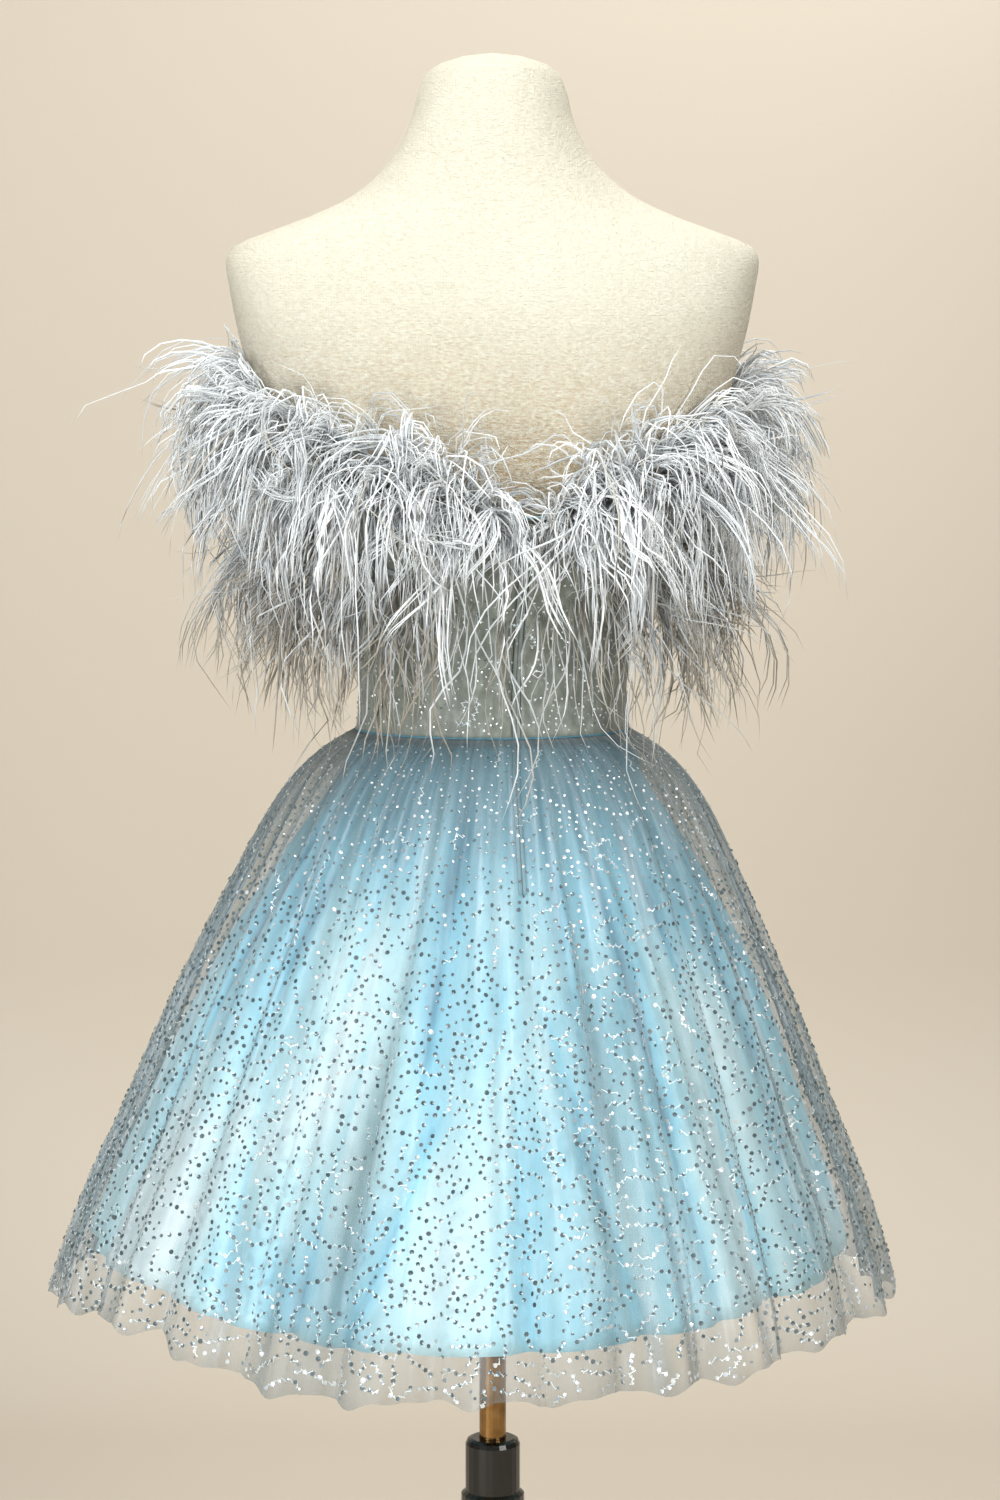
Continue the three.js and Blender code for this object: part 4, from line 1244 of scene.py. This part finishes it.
def clearanceTable():
    # how far out the dress reaches, by height and by direction
    fine = np.arange(0, 360, 1.5)
    directions = np.arange(0, 360, clearance["turn"])
    table = np.zeros((len(clearance["heights"]), len(directions)))
    for row, z in enumerate(clearance["heights"]):
        pointAt, margin = next((surface, gap) for below, surface, gap in clearance["zones"] if z < below)
        ring = pointAt(fine, np.full(len(fine), z), margin)
        direction = np.degrees(np.arctan2(ring[:, 0], -ring[:, 1])) % 360
        radius = np.hypot(ring[:, 0], ring[:, 1])
        order = np.argsort(direction)
        table[row] = np.interp(directions, direction[order], radius[order], period=360)
    return table


clearRadii = clearanceTable()


def keptClear(points, margin):
    # moves points outwards until they clear the dress
    heights, count = clearance["heights"], clearRadii.shape[1]
    direction = (np.degrees(np.arctan2(points[..., 0], -points[..., 1])) % 360) / clearance["turn"]
    row = np.clip((points[..., 2] - heights[0]) / (heights[1] - heights[0]), 0, len(heights) - 1.001)
    r0, c0 = row.astype(int), direction.astype(int) % count
    fr, fc = row - r0, direction - direction.astype(int)
    c1 = (c0 + 1) % count
    low = clearRadii[r0, c0] * (1 - fc) + clearRadii[r0, c1] * fc
    high = clearRadii[r0 + 1, c0] * (1 - fc) + clearRadii[r0 + 1, c1] * fc
    need = low * (1 - fr) + high * fr + margin
    grow = np.maximum(need / np.maximum(np.hypot(points[..., 0], points[..., 1]), 1e-6), 1)
    out = points.copy()
    out[..., :2] *= grow[..., None]
    return out


def growBarbs(tape, angles, tier, maker):
    # the middle lines of all the barbs of one tier: locks of several, most drawn together at the tip
    up, length, lift, fall, soon = tier
    tufts, each, steps = len(angles), feathers["strands"], feathers["steps"]
    total = tufts * each
    away = fromBack(angles)
    loose = maker.uniform(0, 1, tufts) < np.interp(away, [20, 50], [tape["single"], 0.3])
    loose = np.where(loose, 1.0, 0.25)[:, None]

    def perTuft(low, high):
        return np.repeat(maker.uniform(low, high, tufts), each)

    def byDegrees(degrees, values):
        return np.repeat(np.interp(away, degrees, values), each)

    def spread(tuft, barb):
        whole = maker.normal(0, 1, (tufts, 1)) * tuft
        return (whole + maker.normal(0, 1, (tufts, each)) * barb * loose).ravel()

    rootAngles = np.repeat(angles, each) + np.clip(maker.normal(0, 0.5, total), -1, 1)
    share = np.clip(up + maker.normal(0, 0.05, total), 0.02, 0.98)
    z = topEdge(rootAngles) - tape["drop"] - tape["height"] * (1 - share)
    inside = dress["ease"] + dress["bodiceThick"] + 2.2
    place = formPoint(rootAngles, z, inside)
    ahead = formPoint(rootAngles + 0.5, z, inside) - formPoint(rootAngles - 0.5, z, inside)
    facing = unit(np.stack([ahead[:, 1], -ahead[:, 0]], -1))
    side = np.stack([-facing[:, 1], facing[:, 0]], -1)
    size = perTuft(*feathers["size"]) * maker.uniform(0.62, 1.0, total)
    many, longer = feathers["longWisps"]
    size = size * np.where(maker.uniform(0, 1, total) < many, longer, 1.0)
    stride = length * size * byDegrees(*tape["reach"]) / steps
    leave = lift * byDegrees(*feathers["rise"]) + spread(*feathers["leaves"])
    leave = leave - byDegrees([20, 50], [tape["droop"], 0])
    end = -fall + spread(*feathers["ends"])
    many, higher = feathers["strays"]
    stray = maker.uniform(0, 1, total) < many
    end = np.where(stray, end + higher, end)
    swing = np.radians(spread(*feathers["swings"]))
    curl = np.radians(spread(*feathers["curls"]))
    wobble = np.radians(perTuft(8, 36) + maker.uniform(0, 12, total))
    pace = perTuft(0.7, 1.9)
    phase = perTuft(0, 6.28) + spread(0, 1.0)
    points = [place]
    for k in range(1, steps + 1):
        along = (k - 0.5) / steps
        wave = 6.28 * pace * along
        pitch = np.radians(leave + (end - leave) * along**soon) + wobble * np.sin(wave + phase) * along**0.5
        turn = swing + curl * along + 0.8 * wobble * np.sin(wave + 1.9 * phase)
        level = facing * np.cos(turn)[:, None] + side * np.sin(turn)[:, None]
        place = place.copy()
        place[:, :2] += level * (np.cos(pitch) * stride)[:, None]
        place[:, 2] += np.sin(pitch) * stride
        place = keptClear(place, 1.0)
        points.append(place)
    line = np.stack(points, 1).reshape(tufts, each, steps + 1, 3)
    draw = np.where(loose < 0.5, tape["drawsIn"], 0.25)[:, :, None, None]
    draw = draw * np.linspace(0, 1, steps + 1)[None, None, :, None] ** 1.3
    line[:, 1:] += (line[:, :1] - line[:, 1:]) * draw
    line = keptClear(line.reshape(-1, steps + 1, 3), 0.5)
    left = maker.uniform(0, 1, total) < byDegrees([25, 50], [tape["left"], 1.0])
    thick = perTuft(*feathers["thick"]) * maker.uniform(0.7, 1.0, total) * np.where(stray, 0.7, 1.0)
    # painted shade: the tone falls off away from the centre back and on the lower tier; the spread is tone
    # that differs at random
    tone = np.clip(byDegrees([30, 70], tape["shadedTone"]) + spread(*feathers["shades"]), 0, 1)
    return line[left], thick[left], tone[left]


def tubeMesh(name, line, thick, tone, material):
    # three-sided tubes that taper to a point
    count, steps = line.shape[:2]
    forward = unit(np.gradient(line, axis=1))
    sideways = unit(np.cross(forward, np.array([0.31, 0.17, 0.93])))
    over = np.cross(sideways, forward)
    taper = feathers["taper"]
    profile = np.interp(np.linspace(0, 1, steps), np.linspace(0, 1, len(taper)), taper)
    radius = thick[:, None, None] * profile[None, :, None]
    turns = 2 * math.pi * np.arange(3) / 3
    rings = [line + radius * (math.cos(turn) * sideways + math.sin(turn) * over) for turn in turns]
    body = np.stack(rings, 2)[:, :-1].reshape(count, -1, 3)
    points = np.concatenate([body, line[:, -1:]], 1)
    per = points.shape[1]
    last = 3 * (steps - 2)
    faces = [(2, 1, 0)]
    for start in range(0, last, 3):
        for corner in range(3):
            a, b = start + corner, start + (corner + 1) % 3
            faces += [(a, b, b + 3), (a, b + 3, a + 3)]
    faces += [(last + corner, last + (corner + 1) % 3, per - 1) for corner in range(3)]
    faces = np.array(faces)[None] + per * np.arange(count)[:, None, None]
    along = np.append(np.repeat(np.linspace(0, 1, steps)[:-1], 3), 1.0)[None]
    # painted shade: the drooping ends are darker and brownish, away from the centre back, and the roots
    # darker where they lie hidden; each barb is paler along its middle
    direction = np.degrees(np.arctan2(line[:, 0, 0], -line[:, 0, 1]))
    paintedShade = fade(points[..., 2], feathers["shadeBelow"], -feathers["shadeOver"])
    paintedShade = paintedShade * np.interp(fromBack(direction), [25, 60], [0.1, 1.0])[:, None]
    rootShade = 0.3 * np.clip(1 - 3 * along, 0, 1)
    tones = np.clip(tone[:, None] + 0.2 * np.sin(np.pi * along) - rootShade - 0.5 * paintedShade, 0, 1)
    return addMesh(name, points, faces.reshape(-1, 3), material, tone=tones)


def makeTape(name, tape, start, end):
    # the narrow band that the barbs are sewn to, ending short of the zip where they are sewn on singly
    bare = tape["bare"] * math.copysign(1, (start + end) / 2 - dress["backSeam"])
    if end - start < 100:
        start, end = (start + max(bare, 0), end + min(bare, 0))
    angles = np.linspace(start, end, 70)
    levels = [(1.0, 0.9), (1.0, 2.2), (0.5, 2.6), (0.0, 2.2), (0.0, 0.9)]  # up its height, out
    grid = np.empty((len(angles), len(levels), 3))
    for column, (share, out) in enumerate(reversed(levels)):
        z = topEdge(angles) - tape["drop"] - tape["height"] * (1 - share)
        grid[:, column] = formPoint(angles, z, out + dress["ease"] + dress["bodiceThick"])
    return addMesh(name, grid, gridFaces(len(angles), len(levels)), tapeCloth)


def makeFeathers():
    seam, gap = dress["backSeam"], feathers["zipSide"]
    spans = {
        "back_left": (seam - 90, seam - gap),
        "back_right": (seam + gap, seam + 90),
        "front": (seam + 90, seam + 270),
    }
    total = 0
    for row, tape in feathers["tapes"].items():
        for where, (start, end) in spans.items():
            maker = np.random.default_rng(sum(map(ord, row + where)))
            ring = np.linspace(start, end, 60)
            ring = formPoint(ring, topEdge(ring) - tape["drop"], 4)
            length = float(np.linalg.norm(np.diff(ring, axis=0), axis=-1).sum())
            count = int(length / feathers["tuftEvery"])
            barbs = []
            for tier in tape["tiers"]:
                angles = np.clip(np.linspace(start, end, count) + maker.normal(0, 0.6, count), start, end)
                if "sewn" in tape:
                    angles = angles[maker.uniform(0, 1, count) < np.interp(fromBack(angles), *tape["sewn"])]
                barbs.append(growBarbs(tape, angles, tier, maker))
            line, thick, tone = (np.concatenate(part) for part in zip(*barbs))
            piece = tubeMesh(f"barbs_{row}_{where}", line, thick, tone, featherBarbs)
            total += len(line)
            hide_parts(f"feathers_{row}_{where}")
            makeTape(f"tape_{row}_{where}", tape, start, end)
    print("barbs:", total)


makeFeathers()

triangles = {piece.name: sum(len(face.vertices) - 2 for face in piece.data.polygons)
             for piece in bpy.data.objects if piece.type == "MESH" and piece.name not in nodes}
print("triangles:", sum(triangles.values()), triangles)
